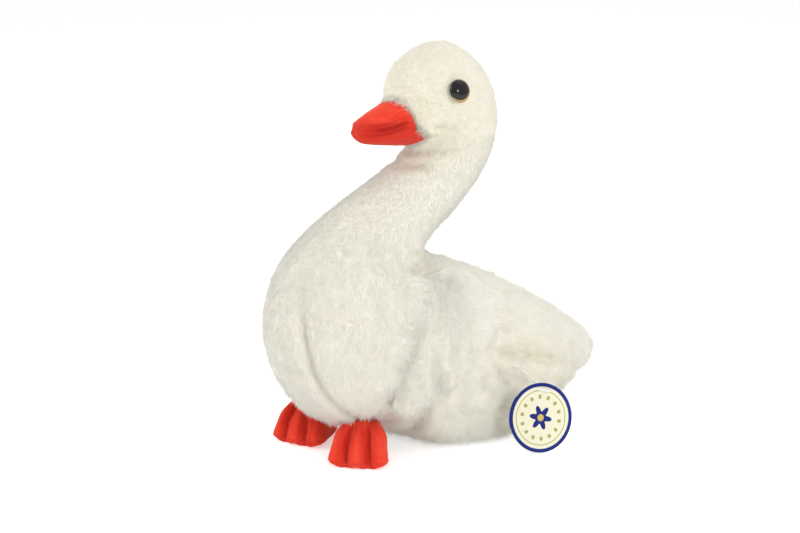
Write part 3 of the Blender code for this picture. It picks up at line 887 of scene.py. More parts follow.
class GrowthTree(Tree):
    """A Geometry Nodes tree with named inputs."""

    def __init__(self, name: str, sizes: dict[str, float]) -> None:
        """Make an empty tree.

        Args:
            name: The tree's name.
            sizes: Its inputs by name, each with its default value.
        """
        group = bpy.data.node_groups.new(name, "GeometryNodeTree")
        super().__init__(group)
        group.interface.new_socket("Surface", in_out="INPUT", socket_type="NodeSocketGeometry")
        for word, value in sizes.items():
            kind = "NodeSocketInt" if isinstance(value, int) else "NodeSocketFloat"
            group.interface.new_socket(word, in_out="INPUT", socket_type=kind).default_value = value
        group.interface.new_socket("Result", in_out="OUTPUT", socket_type="NodeSocketGeometry")
        self.inputs = self.add("NodeGroupInput").outputs

    def named(self, name: str, kind: str = "FLOAT") -> Socket:
        """Read a named attribute."""
        return self.out("GeometryNodeInputNamedAttribute", {"Name": name}, data_type=kind)

    def chance(self, seed: int, low: float, high: float) -> Socket:
        """Draw a number for each point."""
        inputs = {2: low, 3: high, "Seed": seed}
        return self.add("FunctionNodeRandomValue", inputs, data_type="FLOAT").outputs[1]

    def placed(self, points: Socket, copied: Socket, along: Feed, radius: Feed, length: Feed) -> Socket:
        """Put sized copies of a unit mesh on points.

        Args:
            points: The points.
            copied: The mesh, whose Z is its length.
            along: The way that each copy's length runs.
            radius: Each copy's radius.
            length: Each copy's length.

        Returns:
            The instances.
        """
        turn = self.out("FunctionNodeAlignRotationToVector", {"Vector": along}, axis="Z")
        scale = self.out("ShaderNodeCombineXYZ", {0: radius, 1: radius, 2: length})
        inputs = {"Points": points, "Instance": copied, "Rotation": turn, "Scale": scale}
        return self.out("GeometryNodeInstanceOnPoints", inputs)

    def stored(self, geometry: Socket, name: str, value: Socket, kind: str) -> Socket:
        """Store a value on each instance."""
        inputs = {"Geometry": geometry, "Name": name, "Value": value}
        return self.out("GeometryNodeStoreNamedAttribute", inputs, data_type=kind, domain="INSTANCE")

    def finish(self, geometry: Socket, *materials: tuple[Material, Socket | None]) -> None:
        """End the tree with real meshes in their materials.

        Args:
            geometry: The instances.
            materials: Pairs of a material and the selection that wears it, or None for all.
        """
        last = self.out("GeometryNodeRealizeInstances", {0: geometry})
        for material, chosen in materials:
            inputs = {"Geometry": last, "Material": material}
            if chosen is not None:
                inputs["Selection"] = chosen
            last = self.out("GeometryNodeSetMaterial", inputs)
        self.add("NodeGroupOutput", {0: last})

    def run(self, host: Object, name: str, values: dict[str, float]) -> Object:
        """Grow this tree's result on a host's mesh.

        Args:
            host: The object that the result grows on.
            name: The new piece's name.
            values: The inputs that differ from their defaults.

        Returns:
            The result as a plain mesh piece.
        """
        guide = bpy.data.objects.new(name + "_guide", host.data)
        bpy.context.scene.collection.objects.link(guide)
        growth = guide.modifiers.new("Growth", "NODES")
        growth.node_group = self.nodes
        sockets = {s.name: s.identifier for s in self.nodes.interface.items_tree if s.in_out == "INPUT"}
        for word, value in values.items():
            growth[sockets[word]] = value
        bpy.context.view_layer.update()
        graph = bpy.context.evaluated_depsgraph_get()
        mesh = bpy.data.meshes.new_from_object(guide.evaluated_get(graph))
        bpy.data.objects.remove(guide, do_unlink=True)
        return add_piece(name, mesh)


class PileTree(GrowthTree):
    """Grows combed strands of pile on cloth that carries their length, density and lay, and the painted
    shade that turns more strands soft and cream.
    """

    SIZES = {
        "Density": 1e6,
        "Strand Radius": 0.00015,
        "Lift": 0.75,
        "Clump": 2.0,
        "Tuft Scale": 200.0,
        "Ruffle": 1.5,
        "Stray": 0.30,
        "Seed": 1,
    }

    def __init__(
        self, white: Material, soft: Material, cream: Material
    ) -> None:
        """Build the tree.

        Args:
            white: The finish of most strands.
            soft: That of some strands, and of more where painted shade is laid on the cloth.
            cream: That of the warmest strands, most of them where the painted shade is deepest.
        """
        super().__init__("pile_strands", self.SIZES)
        given = self.inputs
        density = self.math("MULTIPLY", self.named("pile_density"), given["Density"])
        inputs = {"Mesh": given["Surface"], "Density": density, "Seed": given["Seed"]}
        sown = self.add("GeometryNodeDistributePointsOnFaces", inputs, distribute_method="RANDOM").outputs
        place = self.out("GeometryNodeInputPosition")
        inputs = {"Vector": place, "Scale": given["Tuft Scale"], "Detail": 1.0}
        tufts = self.add("ShaderNodeTexNoise", inputs).outputs["Color"]
        tufts = self.scaled(self.vector("SUBTRACT", tufts, (0.5, 0.5, 0.5)), given["Clump"])
        aside = self.vector("ADD", place, (0.3, 0.7, 0.1))
        uneven = self.math("SUBTRACT", self.grain(aside, given["Tuft Scale"], 1.0), 0.5)
        inputs = {0: (-1.0, -1.0, -1.0), 1: (1.0, 1.0, 1.0), "Seed": 7}
        stray = self.out("FunctionNodeRandomValue", inputs, data_type="FLOAT_VECTOR")
        lean = self.scaled(sown["Normal"], given["Lift"])
        for push in (self.named("pile_lay", "FLOAT_VECTOR"), tufts, self.scaled(stray, given["Stray"])):
            lean = self.vector("ADD", lean, push)
        height = self.math("MULTIPLY", self.named("pile_length"), self.chance(11, 0.75, 1.15))
        ruffled = self.math("ADD", 1.0, self.math("MULTIPLY", uneven, given["Ruffle"]))
        height = self.math("MULTIPLY", height, ruffled)
        inputs = {"Vertices": 3, "Radius Bottom": 1.0, "Radius Top": 0.0, "Depth": 1.0}
        strand = self.out("GeometryNodeMeshCone", inputs, fill_type="NONE")
        grown = self.placed(sown["Points"], strand, lean, given["Strand Radius"], height)
        # Painted shade: soft and cream strands gather where the cloth carries painted shade, and in the
        # shorter tufts, which are laid darker as if in shade; the rest is random.
        shade = self.math("SUBTRACT", self.chance(23, 0.0, 1.0), self.named("pile_tint"))
        grown = self.stored(grown, "pile_shade", self.math("ADD", shade, uneven), "FLOAT")
        grown = self.stored(grown, "ground_normal", sown["Normal"], "FLOAT_VECTOR")
        limits = [self.math("LESS_THAN", self.named("pile_shade"), limit) for limit in (0.22, 0.0)]
        self.finish(grown, (white, None), (soft, limits[0]), (cream, limits[1]))


class StitchTree(GrowthTree):
    """Lays short stitches end to end along a seam line."""

    SIZES = {"Pitch": 0.0022, "Stitch Length": 0.0014, "Thread Radius": 0.0002}

    def __init__(self, thread: Material) -> None:
        """Build the tree.

        Args:
            thread: The thread's finish.
        """
        super().__init__("seam_stitches", self.SIZES)
        given = self.inputs
        line = self.out("GeometryNodeMeshToCurve", {"Mesh": given["Surface"]})
        inputs = {"Curve": line, "Length": given["Pitch"]}
        beads = self.out("GeometryNodeResampleCurve", inputs, mode="LENGTH")
        inputs = {"Vertices": 6, "Side Segments": 1, "Radius": 1.0, "Depth": 1.0}
        stitch = self.out("GeometryNodeMeshCylinder", inputs, fill_type="TRIANGLE_FAN")
        tangent = self.out("GeometryNodeInputTangent")
        sewn = self.placed(beads, stitch, tangent, given["Thread Radius"], given["Stitch Length"])
        self.finish(sewn, (thread, None))


def soften_normals(mesh: Mesh, softness: float) -> None:
    """Turn the strands' shading normals towards those of the cloth under them.

    Args:
        mesh: The strands, each with its cloth's normal.
        softness: How far they are turned, from 0 to 1.
    """
    cloth = read_attribute(mesh, "ground_normal")
    mixed = unit(softness * cloth + (1 - softness) * read_points(mesh, "normal"))
    mesh.normals_split_custom_set_from_vertices([tuple(row) for row in mixed])
    mesh.attributes.remove(mesh.attributes["ground_normal"])


def face_weight(mesh: Mesh, weight: np.ndarray) -> float:
    """Return the area of a mesh, weighted by a number on its vertices."""
    return sum(face.area * float(np.mean(weight[list(face.vertices)])) for face in mesh.polygons)


@dataclass
class Pile:
    """A field of pile on one stretch of cloth.

    Attributes:
        name: The piece's name.
        strands: How many strands it has.
        lift: How far the strands stand up.
        clump: How far the strands lean together in tufts.
        tuft: The width of a tuft.
        ruffle: How much the pile's length changes from tuft to tuft.
        stray: How far single strands stray.
        radius: A strand's radius at its root.
        seed: The seed of its random places.
        softness: How far the strands take the light as the cloth under them does, from 0 to 1.
    """

    name: str
    strands: int
    lift: float = 0.75
    clump: float = 2.0
    tuft: float = 0.005
    ruffle: float = 1.5
    stray: float = 0.30
    radius: float = 0.00014
    seed: int = 1
    softness: float = 0.6

    def grow(self, tree: PileTree, cloth: Object, share: np.ndarray) -> Object:
        """Grow the strands where the share is above zero.

        Args:
            tree: The tree that grows them.
            cloth: The piece that they grow on.
            share: How dense they are at each vertex, from 0 to 1.

        Returns:
            The pile as a piece.
        """
        write_attribute(cloth.data, "pile_density", share)
        wanted = min(self.strands, PIECE_LIMIT // STRAND_FACES)
        values = {
            "Density": wanted / face_weight(cloth.data, share),
            "Strand Radius": self.radius,
            "Lift": self.lift,
            "Clump": self.clump,
            "Tuft Scale": 1.0 / self.tuft,
            "Ruffle": self.ruffle,
            "Stray": self.stray,
            "Seed": self.seed,
        }
        piece = tree.run(cloth, self.name, values)
        soften_normals(piece.data, self.softness)
        points = read_points(piece.data)
        points[:, 2] = np.maximum(points[:, 2], 0.0003)
        write_points(piece.data, points)
        declare(piece, Slot.PILE)
        return piece


def tangent_lay(mesh: Mesh, flow: np.ndarray, strength: np.ndarray | float = 1.0) -> np.ndarray:
    """Lay a flow down on a mesh's surface.

    Args:
        mesh: The cloth.
        flow: The way that the pile is brushed at each vertex.
        strength: How hard it is brushed.

    Returns:
        The flow along the surface, scaled by the strength.
    """
    normals = read_points(mesh, "normal")
    flat = unit(flow - np.sum(flow * normals, axis=1, keepdims=True) * normals)
    return flat * np.reshape(strength, (-1, 1))


# The swan's pieces


@dataclass
class Eye:
    """A moulded eye on its stem, set in the cloth of the head.

    Attributes:
        side: The side that it is on.
        segments: How many steps there are round it.
        rings: How many steps there are up its dome.
        gaze: How far the pupil is shifted along Y and Z, as a share of the radius.
    """

    side: Side
    segments: int = 56
    rings: int = 18
    gaze: tuple[float, float] = (-0.20, 0.07)
    centre: Vector = field(init=False)
    axis: Vector = field(init=False)
    radius: float = field(init=False)

    def __post_init__(self) -> None:
        """Read the eye's place, axis and radius from the frame."""
        points = np.unique(read_points(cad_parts[self.node].data).round(6), axis=0)
        middle = points.mean(axis=0)
        _, axes = np.linalg.eigh(np.cov((points - middle).T))
        outwards = np.array([self.side.value, 0.0, 0.0])
        axis = max(axes.T, key=lambda a: abs(a @ outwards))
        axis *= math.copysign(1.0, axis @ outwards)
        heights = (points - middle) @ axis
        away = np.linalg.norm(points - middle - heights[:, None] * axis, axis=1)
        self.radius = float(away.max())
        rim = heights[away > 0.98 * self.radius]
        self.axis = Vector(axis)
        self.centre = Vector(middle + axis * rim.min())
        self.top = float(heights.max() - rim.min())
        self.stem = float(rim.min() - heights.min())
        self.stem_radius = float(away[heights < heights.min() + 1e-4].max())

    @property
    def node(self) -> str:
        """The frame's node for this eye."""
        return "eye_" + self.side.word

    def build(self, finish: Material) -> None:
        """Turn the eye's stem, rim and dome.

        Args:
            finish: The eye's finish.
        """
        profile = [(0.0, -self.stem), (self.stem_radius, -self.stem), (self.stem_radius, 0.0)]
        profile += [(0.93 * self.radius, 0.0), (0.985 * self.radius, 0.0002), (self.radius, 0.0006)]
        for k in range(1, self.rings + 1):
            turn = math.pi / 2 * k / self.rings
            height = 0.0006 + (self.top - 0.0006) * math.sin(turn)
            profile.append((self.radius * math.cos(turn) ** 0.9 if k < self.rings else 0.0, height))
        shape = bmesh.new()
        rows = []
        for radius, height in profile:
            steps = self.segments if radius > 0 else 1
            turns = [2 * math.pi * k / self.segments for k in range(steps)]
            ring = [(radius * math.cos(t), radius * math.sin(t), height) for t in turns]
            rows.append([shape.verts.new(corner) for corner in ring])
        bridge(shape, rows)
        bmesh.ops.recalc_face_normals(shape, faces=shape.faces)
        mesh = mesh_of(shape, self.node + "_moulding")
        facing = self.axis.to_track_quat("Z", "Y").to_matrix()
        ahead = facing.inverted() @ Vector((0.0, *self.gaze))
        local = read_points(mesh)[:, :2] / self.radius
        write_attribute(mesh, "eye_radius", np.linalg.norm(local - np.array(ahead.xy), axis=1))
        mesh.transform(Matrix.Translation(self.centre) @ facing.to_4x4())
        piece = add_piece(self.node + "_moulding", mesh, finish)
        mesh.set_sharp_from_angle(angle=math.radians(60))
        declare(piece, Slot.EYE, self.node)


@dataclass
class Beak:
    """The beak: a velour bag with a seam along each side from its tip to the corners of the face.

    Attributes:
        bag: The bag that it is made as.
    """

    bag: StuffedBag = field(
        default_factory=lambda: StuffedBag(
            "beak", ("beak_upper", "beak_lower", "beak_filling"), 0.0013, 0.0002, 0.0012, relax=8, fill=0.7
        )
    )

    def folds(self) -> list[Fold]:
        """Return the side seams, and the crease over each.

        Returns:
            The folds.
        """
        seam = ((17, -1, 203), (16, -9, 202.5), (14.5, -17, 200), (11, -25, 198.5), (5, -33, 198))
        wrinkle = ((12, -10, 209), (12.5, -15, 205.5), (12.5, -19, 202))
        # The fourth number of a row is its painted shade: deep along the seam, light in the wrinkle.
        left = folds_from((0.0013, 0.0017, 0.45, 0.90, seam), (0.0016, 0.0007, 0.3, 0.25, wrinkle))
        return both_sides(left)

    def build(self, velour: Material) -> Object:
        """Build the beak.

        Args:
            velour: Its finish.

        Returns:
            The beak.
        """
        piece = self.bag.form()
        folds = self.folds()
        self.bag.inflate(piece, folds[0].reach(read_points(piece.data), surface_of(piece.data))[0])
        self.bag.refine(piece)
        crease_shade = self.bag.crease(piece, folds)
        points = read_points(piece.data)
        # Painted shade: the beak's lower half is laid a deeper red, as its underside is in shade.
        below = smooth_step(-points[:, 2] - 0.12 * points[:, 1], -0.2030, -0.1965)
        write_attribute(piece.data, "pile_tint", np.clip(crease_shade + 0.55 * below, 0, 1))
        piece.data.materials.append(velour)
        self.bag.declare(piece, Slot.VELOUR)
        return piece


@dataclass
class Foot:
    """A webbed foot: a velour bag stitched into three toes.

    Attributes:
        side: The side that it is on.
        heel: Its heel's X and Y.
        turn: How far its toes turn out.
        length: From heel to toes.
        half_width: Half its width across the toes.
        seam_height: How high the seam round its rim lies.
    """

    side: Side
    heel: tuple[float, float]
    turn: float
    length: float = 0.040
    half_width: float = 0.0190
    seam_height: float = 0.0042

    def at(self, forward: float, outward: float, height: float) -> Vector:
        """Return a place on the foot.

        Args:
            forward: How far it lies from heel to toes, as a share of the length.
            outward: How far it lies to the swan's outside, as a share of the half width.
            height: Its height.

        Returns:
            The place.
        """
        sign = self.side.value
        ahead = Vector((sign * math.sin(self.turn), -math.cos(self.turn), 0.0))
        aside = Vector((sign * math.cos(self.turn), math.sin(self.turn), 0.0))
        place = Vector((*self.heel, height)) + ahead * forward * self.length
        return place + aside * outward * self.half_width

    def folds(self) -> list[Fold]:
        """Return the two stitched lines between the toes, over the top and down the front.

        Returns:
            The folds.
        """
        line = ((0.30, 0.20, 0.026), (0.62, 0.30, 0.022), (0.86, 0.36, 0.014))
        line += ((0.97, 0.40, 0.006), (0.96, 0.40, 0.002))
        paths = [tuple(self.at(f, hand * s, h) for f, s, h in line) for hand in (1, -1)]
        # The last number is the painted shade laid in each stitched crease.
        return [Fold(path, 0.0019, 0.0030, 0.30, False, 0.65) for path in paths]

    def rim(self) -> list[Vector]:
        """Return the seam line round the foot, where its upper meets its sole.

        Returns:
            Places along it.
        """
        half = ((0.02, 0.30), (0.05, 0.55), (0.45, 0.80), (0.78, 1.0), (0.94, 0.8), (0.93, 0.4))
        outline = (*half, (1.0, 0.0), *((f, -s) for f, s in reversed(half)))
        return [self.at(f, s, self.seam_height) for f, s in outline]

    def build(self, velour: Material, stitches: StitchTree) -> Object:
        """Build the foot and the stitches round its rim.

        Args:
            velour: Its finish.
            stitches: The tree that lays the stitches.

        Returns:
            The foot.
        """
        word = self.side.word
        nodes = tuple(f"foot_{word}_{layer}" for layer in ("upper", "sole", "filling"))
        bag = StuffedBag(f"foot_{word}", nodes, 0.0015, 0.0004, 0.0018, relax=7, fill=0.75)
        piece = bag.form()
        points = read_points(piece.data)
        surface = surface_of(piece.data)
        held = np.maximum.reduce([fold.reach(points, surface)[0] for fold in self.folds()])
        held = np.maximum(held, (points[:, 2] < 0.0015).astype(float))
        bag.inflate(piece, held)
        bag.refine(piece)
        bag.swell_at(piece, [Bulge(self.at(0.50, hand * 0.70, 0.018), 0.009, 0.0028) for hand in (1, -1)])
        crease_shade = bag.crease(piece, self.folds())
        points = read_points(piece.data)
        points[:, 2] = np.maximum(points[:, 2], 0.0)
        write_points(piece.data, points)
        # Painted shade, a deeper red, in the creases between the toes.
        write_attribute(piece.data, "pile_tint", crease_shade)
        piece.data.materials.append(velour)
        bag.declare(piece, Slot.VELOUR)
        self.stitch(piece, stitches)
        return piece

    def stitch(self, piece: Object, stitches: StitchTree) -> None:
        """Lay the stitches of the rim on the finished foot.

        Args:
            piece: The foot.
            stitches: The tree that lays them.
        """
        surface = surface_of(piece.data)
        near = [surface.find_nearest(corner) for corner in smooth_path(self.rim(), 60)]
        laid = [tuple(place + normal * 0.0001) for place, normal, _, _ in near]
        mesh = bpy.data.meshes.new("rim_line")
        mesh.from_pydata(laid, [(k, k + 1) for k in range(len(laid) - 1)], [])
        line = bpy.data.objects.new("rim_line", mesh)
        row = stitches.run(line, f"foot_{self.side.word}_stitches", {})
        bpy.data.objects.remove(line, do_unlink=True)
        declare(row, Slot.VELOUR)


def smooth_path(corners: list[Vector], count: int) -> list[Vector]:
    """Read places along a smooth curve through corners.

    Args:
        corners: The curve's corners.
        count: How many places to read.

    Returns:
        The places, from the first corner to the last.
    """
    last = len(corners) - 1
    places = []
    for n in range(count):
        k = min(int(n * last / (count - 1)), last - 1)
        t = n * last / (count - 1) - k
        a, b, c, d = (corners[min(max(k + m, 0), last)] for m in (-1, 0, 1, 2))
        bend = (2 * b) + (c - a) * t + (2 * a - 5 * b + 4 * c - d) * t * t + (3 * b - a - 3 * c + d) * t**3
        places.append(bend / 2)
    return places


@dataclass
class Wing:
    """A folded wing: a flat bag of pile cloth, sewn on along its top and stitched with one feather line.

    Attributes:
        side: The side that it is on.
        strands: How many strands its pile has.
        pile_length: How long they are.
    """

    side: Side
    strands: int = 13_000
    pile_length: float = 0.0032

    def folds(self) -> list[Fold]:
        """Return the feather line and the slack crease beside it.

        Returns:
            The folds.
        """
        feather = ((63, -23, 74), (62, -21, 60), (54, -14, 42), (50, -12, 37))
        slack = ((60, 2, 84), (61, -6, 70), (60, -8, 58))
        # The fourth number of a row is its painted shade.
        made = folds_from((0.0042, 0.0028, 0.30, 0.30, feather), (0.0060, 0.0012, 0.2, 0.15, slack))
        return made if self.side is Side.LEFT else [fold.mirrored() for fold in made]

    def build(self, ground: Material, pile: PileTree) -> Object:
        """Build the wing and its pile.

        Args:
            ground: The finish of its cloth.
            pile: The tree that grows its pile.

        Returns:
            The wing without its pile.
        """
        word = self.side.word
        nodes = tuple(f"wing_{word}_{layer}" for layer in ("cover", "lining", "filling"))
        bag = StuffedBag(f"wing_{word}", nodes, 0.0022, 0.0010, 0.0022, relax=12, fill=0.6)
        piece = bag.form()
        bag.inflate(piece, 0.5 * self.folds()[0].reach(read_points(piece.data), surface_of(piece.data))[0])
        bag.refine(piece)
        crease_shade = bag.crease(piece, self.folds())
        mesh = piece.data
        points, normals = read_points(mesh), read_points(mesh, "normal")
        # Painted shade in the wing's creases, weakened to 0.6.
        write_attribute(mesh, "pile_tint", 0.6 * crease_shade)
        flow = np.tile([0.0, 0.10, -1.0], (len(points), 1))
        flow += smooth_step(points[:, 1], -0.01, 0.03)[:, None] * np.array([0.0, 0.7, 0.25])
        front = 0.8 * smooth_step(-normals[:, 1], 0.15, 0.60)[:, None]
        over = np.array([0.3 * self.side.value, -1.0, -0.5])
        write_attribute(mesh, "pile_lay", (1 - front) * tangent_lay(mesh, flow) + front * over)
        tip = smooth_step(-points[:, 2], -0.060, -0.035)
        write_attribute(mesh, "pile_length", self.pile_length * (1.0 + 0.25 * tip))
        mesh.materials.append(ground)
        bag.declare(piece, Slot.PILE)
        outer = smooth_step(self.side.value * normals[:, 0], -0.95, -0.60)
        name = f"pile_wing_{word}"
        strands = Pile(name, self.strands, clump=1.2, tuft=0.0045, ruffle=0.9, softness=0.9, seed=31)
        strands.grow(pile, piece, outer)
        return piece


@dataclass
class Body:
    """The stuffed body, neck and head, in pile cloth with a belly gusset.

    Attributes:
        collar: How far the face is drawn up round the beak.
        wing_seat: How far the flanks are drawn up to the wings.
        sewn_reach: How far from a sewn-on piece the cloth is drawn up.
        nap: How long the pile is where it is shortest.
        fringe_length: How long the pile is that lies over sewn-on pieces.
        bag: The bag that it is made as.
    """

    collar: float = 0.0020
    wing_seat: float = 0.0060
    sewn_reach: float = 0.0045
    nap: float = 0.0028
    fringe_length: float = 0.0060
    bag: StuffedBag = field(
        default_factory=lambda: StuffedBag(
            "swan_body",
            ("side_panel_left", "side_panel_right", "belly_gusset", "body_filling"),
            0.0042,
            0.0022,
            0.0030,
            relax=9,
            fill=0.9,
        )
    )

    def paired_folds(self) -> list[Fold]:
        """Return the folds that both sides have.

        Returns:
            The folds.
        """
        # The fourth number of a row is the painted shade laid in the fold.
        left = folds_from(
            (0.0022, 0.0012, 0.3, 0.25, ((19, 9, 197), (21, 14, 196.5), (25, 23, 196))),
            (0.0030, 0.0014, 0.3, 0.35, ((2, 4, 185), (10, 11, 184), (20, 19, 183), (26, 28, 185))),
            (0.0035, 0.0010, 0.3, 0.30, ((1, -3, 178), (11, 3, 177.5), (20, 12, 176))),
            (0.0048, 0.0026, 0.35, 0.75,
             ((50, 30, 62), (51, 48, 57), (50, 71, 50), (46, 92, 43), (35, 128, 31))),
            (0.0040, 0.0018, 0.3, 0.35, ((52, 30, 60), (53, 37, 46), (52, 45, 32))),
            (0.0045, 0.0022, 0.2, 0.45, ((47, 44, 72), (45, 52, 72), (43, 59, 74))),
            (0.0050, 0.0026, 0.1, 0.35, ((38, -21, 122), (38, -18, 117), (42, -23, 112))),
            (0.0045, 0.0026, 0.4, 0.30, ((46, -12, 34), (40, -16, 20), (30, -16, 10), (20, -14, 5))),
            (0.0040, 0.0022, 0.2, 0.30, ((44, -6, 34), (51, 3, 49), (52, 21, 66), (46, 41, 74))),
        )
        return both_sides(left)

    def single_folds(self) -> list[Fold]:
        """Return the chance wrinkles of the breast.

        Returns:
            The folds.
        """
        # The fourth number of a row is the painted shade laid in the fold.
        return folds_from(
            (0.0030, 0.0013, 0.3, 0.10, ((-4, -95, 63), (8, -92, 60.5), (18, -89, 58))),
            (0.0024, 0.0010, 0.3, 0.10, ((-10, -91, 107), (-2, -91, 109), (6, -91, 109))),
            (0.0026, 0.0010, 0.3, 0.05, ((-17, -94, 87), (-9, -95, 94), (1, -95, 100))),
        )

    def bulges(self) -> list[Bulge]:
        """Return the lobes of the breast and the hips.

        Returns:
            The bulges, and hollows.
        """
        left = (
            ((40, -72, 58), 0.026, 0.0026),
            ((38, 2, 9), 0.016, 0.0060),
            ((41, 27, 8), 0.020, 0.0060),
            ((41, 55, 10), 0.020, 0.0045),
            ((30, -26, 20), 0.013, -0.0020),
            ((22, -56, 28), 0.020, 0.0040),
            ((19, 8, 195), 0.007, 0.0022),
            ((0, -6, 228), 0.018, 0.0030),
            ((33, 17, 221), 0.0125, 0.0014),
            ((6, 28, 250), 0.022, 0.0018),
            ((43, -50, 54), 0.011, 0.0034),
            ((46, -43, 75), 0.011, 0.0042),
            ((45, -34, 94), 0.011, 0.0040),
            ((42, -27, 108), 0.009, 0.0024),
            ((2, 170, 33), 0.012, 0.0016),
        )
        return both_sides([Bulge(millimetres(*place), reach, height) for place, reach, height in left])

    def seam_nearness(self, points: np.ndarray, first: str, second: str, width: float) -> np.ndarray:
        """Weigh how near points lie to the seam between two of the frame's solids.

        Args:
            points: The places, a row for each.
            first: One solid's node.
            second: The other's.
            width: How far the weight spreads.

        Returns:
            The weights, from 0 to 1.
        """
        trees = [surface_of(joined_nodes((name,))) for name in (first, second)]
        gaps = [np.abs(signed_distance(points, tree)) for tree in trees]
        return nearness(np.maximum(*gaps), width)

    def seams(self, points: np.ndarray, width: float) -> np.ndarray:
        """Weigh how near points lie to the gusset's seams, deepest where the panels roll over them.

        Args:
            points: The places, a row for each.
            width: How far the weight spreads.

        Returns:
            The weights, from 0 to 1.
        """
        panels = [f"side_panel_{side.word}" for side in Side]
        near = [self.seam_nearness(points, panel, "belly_gusset", width) for panel in panels]
        height = points[:, 2]
        deep = smooth_step(-height, -0.112, -0.080) * smooth_step(height, 0.018, 0.040)
        return np.maximum(*near) * (0.12 + 0.88 * deep)

    def draw_up(
        self, piece: Object, sewn_on: Object, height: float, behind: float
    ) -> None:
        """Draw the cloth up round a piece that is sewn on.

        Args:
            piece: The body.
            sewn_on: The piece, such as a wing.
            height: How far the cloth is drawn up.
            behind: The Y where that has faded out.
        """
        points = read_points(piece.data)
        gap = signed_distance(points, surface_of(sewn_on.data))
        push = height * nearness(gap, self.sewn_reach)
        push *= smooth_step(-points[:, 1], -behind, 0.020 - behind)
        write_points(piece.data, points + read_points(piece.data, "normal") * push[:, None])

    def build(
        self, ground: Material, beak: Object, wings: list[Object]
    ) -> Object:
        """Build the body without its pile.

        Args:
            ground: The finish of its cloth.
            beak: The beak, which the face is drawn up to.
            wings: The wings, which the flanks are drawn up to.

        Returns:
            The body.
        """
        bag = self.bag
        piece = bag.form()
        points = read_points(piece.data)
        held = np.maximum(self.seams(points, 0.0045), (points[:, 2] < 0.0035).astype(float))
        bag.inflate(piece, held)
        bag.refine(piece)
        mesh = piece.data
        points = read_points(mesh)
        seam = self.seams(points, 0.0036)
        write_points(mesh, points - read_points(mesh, "normal") * (0.0040 * seam)[:, None])
        bag.swell_at(piece, self.bulges())
        self.draw_up(piece, beak, self.collar, 0.060)
        for wing in wings:
            self.draw_up(piece, wing, self.wing_seat, 0.035)
        crease_shade = bag.crease(piece, self.paired_folds() + self.single_folds())
        points = read_points(mesh)
        points[:, 2] = np.maximum(points[:, 2], 0.0)
        write_points(mesh, points)
        # Painted shade: creamier under the tail, along the gusset seams and in the folds; the head is laid
        # creamier too, partly its own colour and partly painted shade that dims it.
        under_tail_shade = smooth_step(points[:, 1], 0.06, 0.12) * smooth_step(-points[:, 2], -0.040, -0.015)
        head_cream_and_shade = 0.38 * smooth_step(points[:, 2], 0.176, 0.200)
        shade_and_cream = np.maximum(crease_shade, 0.35 * under_tail_shade) + 0.15 * seam + head_cream_and_shade
        write_attribute(mesh, "pile_tint", np.clip(shade_and_cream, 0, 1))
        mesh.materials.append(ground)
        return piece

    def comb(
        self, piece: Object, eyes: list[Eye], beak: Object, wings: list[Object]
    ) -> None:
        """Set how long the pile is and which way it is brushed, over the whole body.

        Args:
            piece: The body.
            eyes: The eyes, which the pile lies back from.
            beak: The beak, which it is brushed over.
            wings: The wings, whose front edges it overlaps.
        """
        mesh = piece.data
        points = read_points(mesh)
        height, back = points[:, 2], points[:, 1]
        head = smooth_step(height, 0.182, 0.200)
        neck = smooth_step(height, 0.122, 0.150) * (1 - head)
        rear = smooth_step(back, -0.030, 0.040) * (1 - head - neck)
        breast = 1 - head - neck - rear
        from_beak = unit(points - np.array([0.0, -0.020, 0.205]))
        flow = head[:, None] * (from_beak + np.array([0.0, 0.3, -0.5]))
        flow += neck[:, None] * np.array([0.0, -0.45, -0.90])
        flow += rear[:, None] * np.array([0.0, 0.85, -0.50])
        flow += breast[:, None] * np.array([0.0, 0.15, -1.0])
        at_beak = nearness(signed_distance(points, surface_of(beak.data)), 0.005)
        flow = (1 - at_beak)[:, None] * flow + at_beak[:, None] * np.array([0.0, -1.0, -0.1])
        gaps = [signed_distance(points, surface_of(wing.data)) for wing in wings]
        near_wing = nearness(np.minimum(*gaps), 0.0055) * smooth_step(-back, -0.010, 0.010)
        flow = (1 - near_wing)[:, None] * flow + near_wing[:, None] * np.array([0.0, 1.0, -0.6])
        lay = tangent_lay(mesh, flow, 0.85 + 0.4 * at_beak)
        outwards = np.sign(points[:, 0])[:, None] * np.array([0.35, 0.0, 0.0])
        over = np.array([0.0, 1.1, -0.4]) + outwards
        lay = (1 - 0.8 * near_wing)[:, None] * lay + 0.8 * near_wing[:, None] * over
        write_attribute(mesh, "pile_lay", lay)
        hairy = smooth_step(back, -0.020, 0.010) * smooth_step(-height, -0.045, -0.012)
        skirt = smooth_step(-back, 0.000, 0.020) * smooth_step(-height, -0.050, -0.020)
        length = self.nap + 0.0006 * breast + 0.0016 * rear
        length += 0.0032 * hairy + 0.0018 * skirt + 0.0026 * near_wing + 0.0003 * head
        for eye in eyes:
            length *= 0.60 + 0.40 * smooth_step(distance(points, eye.centre), 0.0078, 0.0120)
        write_attribute(mesh, "pile_length", length)

    def bare(self, piece: Object, eyes: list[Eye], covers: list[Object]) -> np.ndarray:
        """Weigh where the pile grows: not under an eye, a wing, a foot or the beak.

        Args:
            piece: The body.
            eyes: The eyes.
            covers: The other pieces that cover it.

        Returns:
            The weights, from 0 to 1.
        """
        points = read_points(piece.data)
        grows = np.ones(len(points))
        for cover in covers:
            grows *= smooth_step(signed_distance(points, surface_of(cover.data)), -0.0010, 0.0002)
        for eye in eyes:
            grows *= smooth_step(distance(points, eye.centre), 0.0070, 0.0080)
        return grows * (0.25 + 0.75 * smooth_step(points[:, 2], 0.0005, 0.0025))

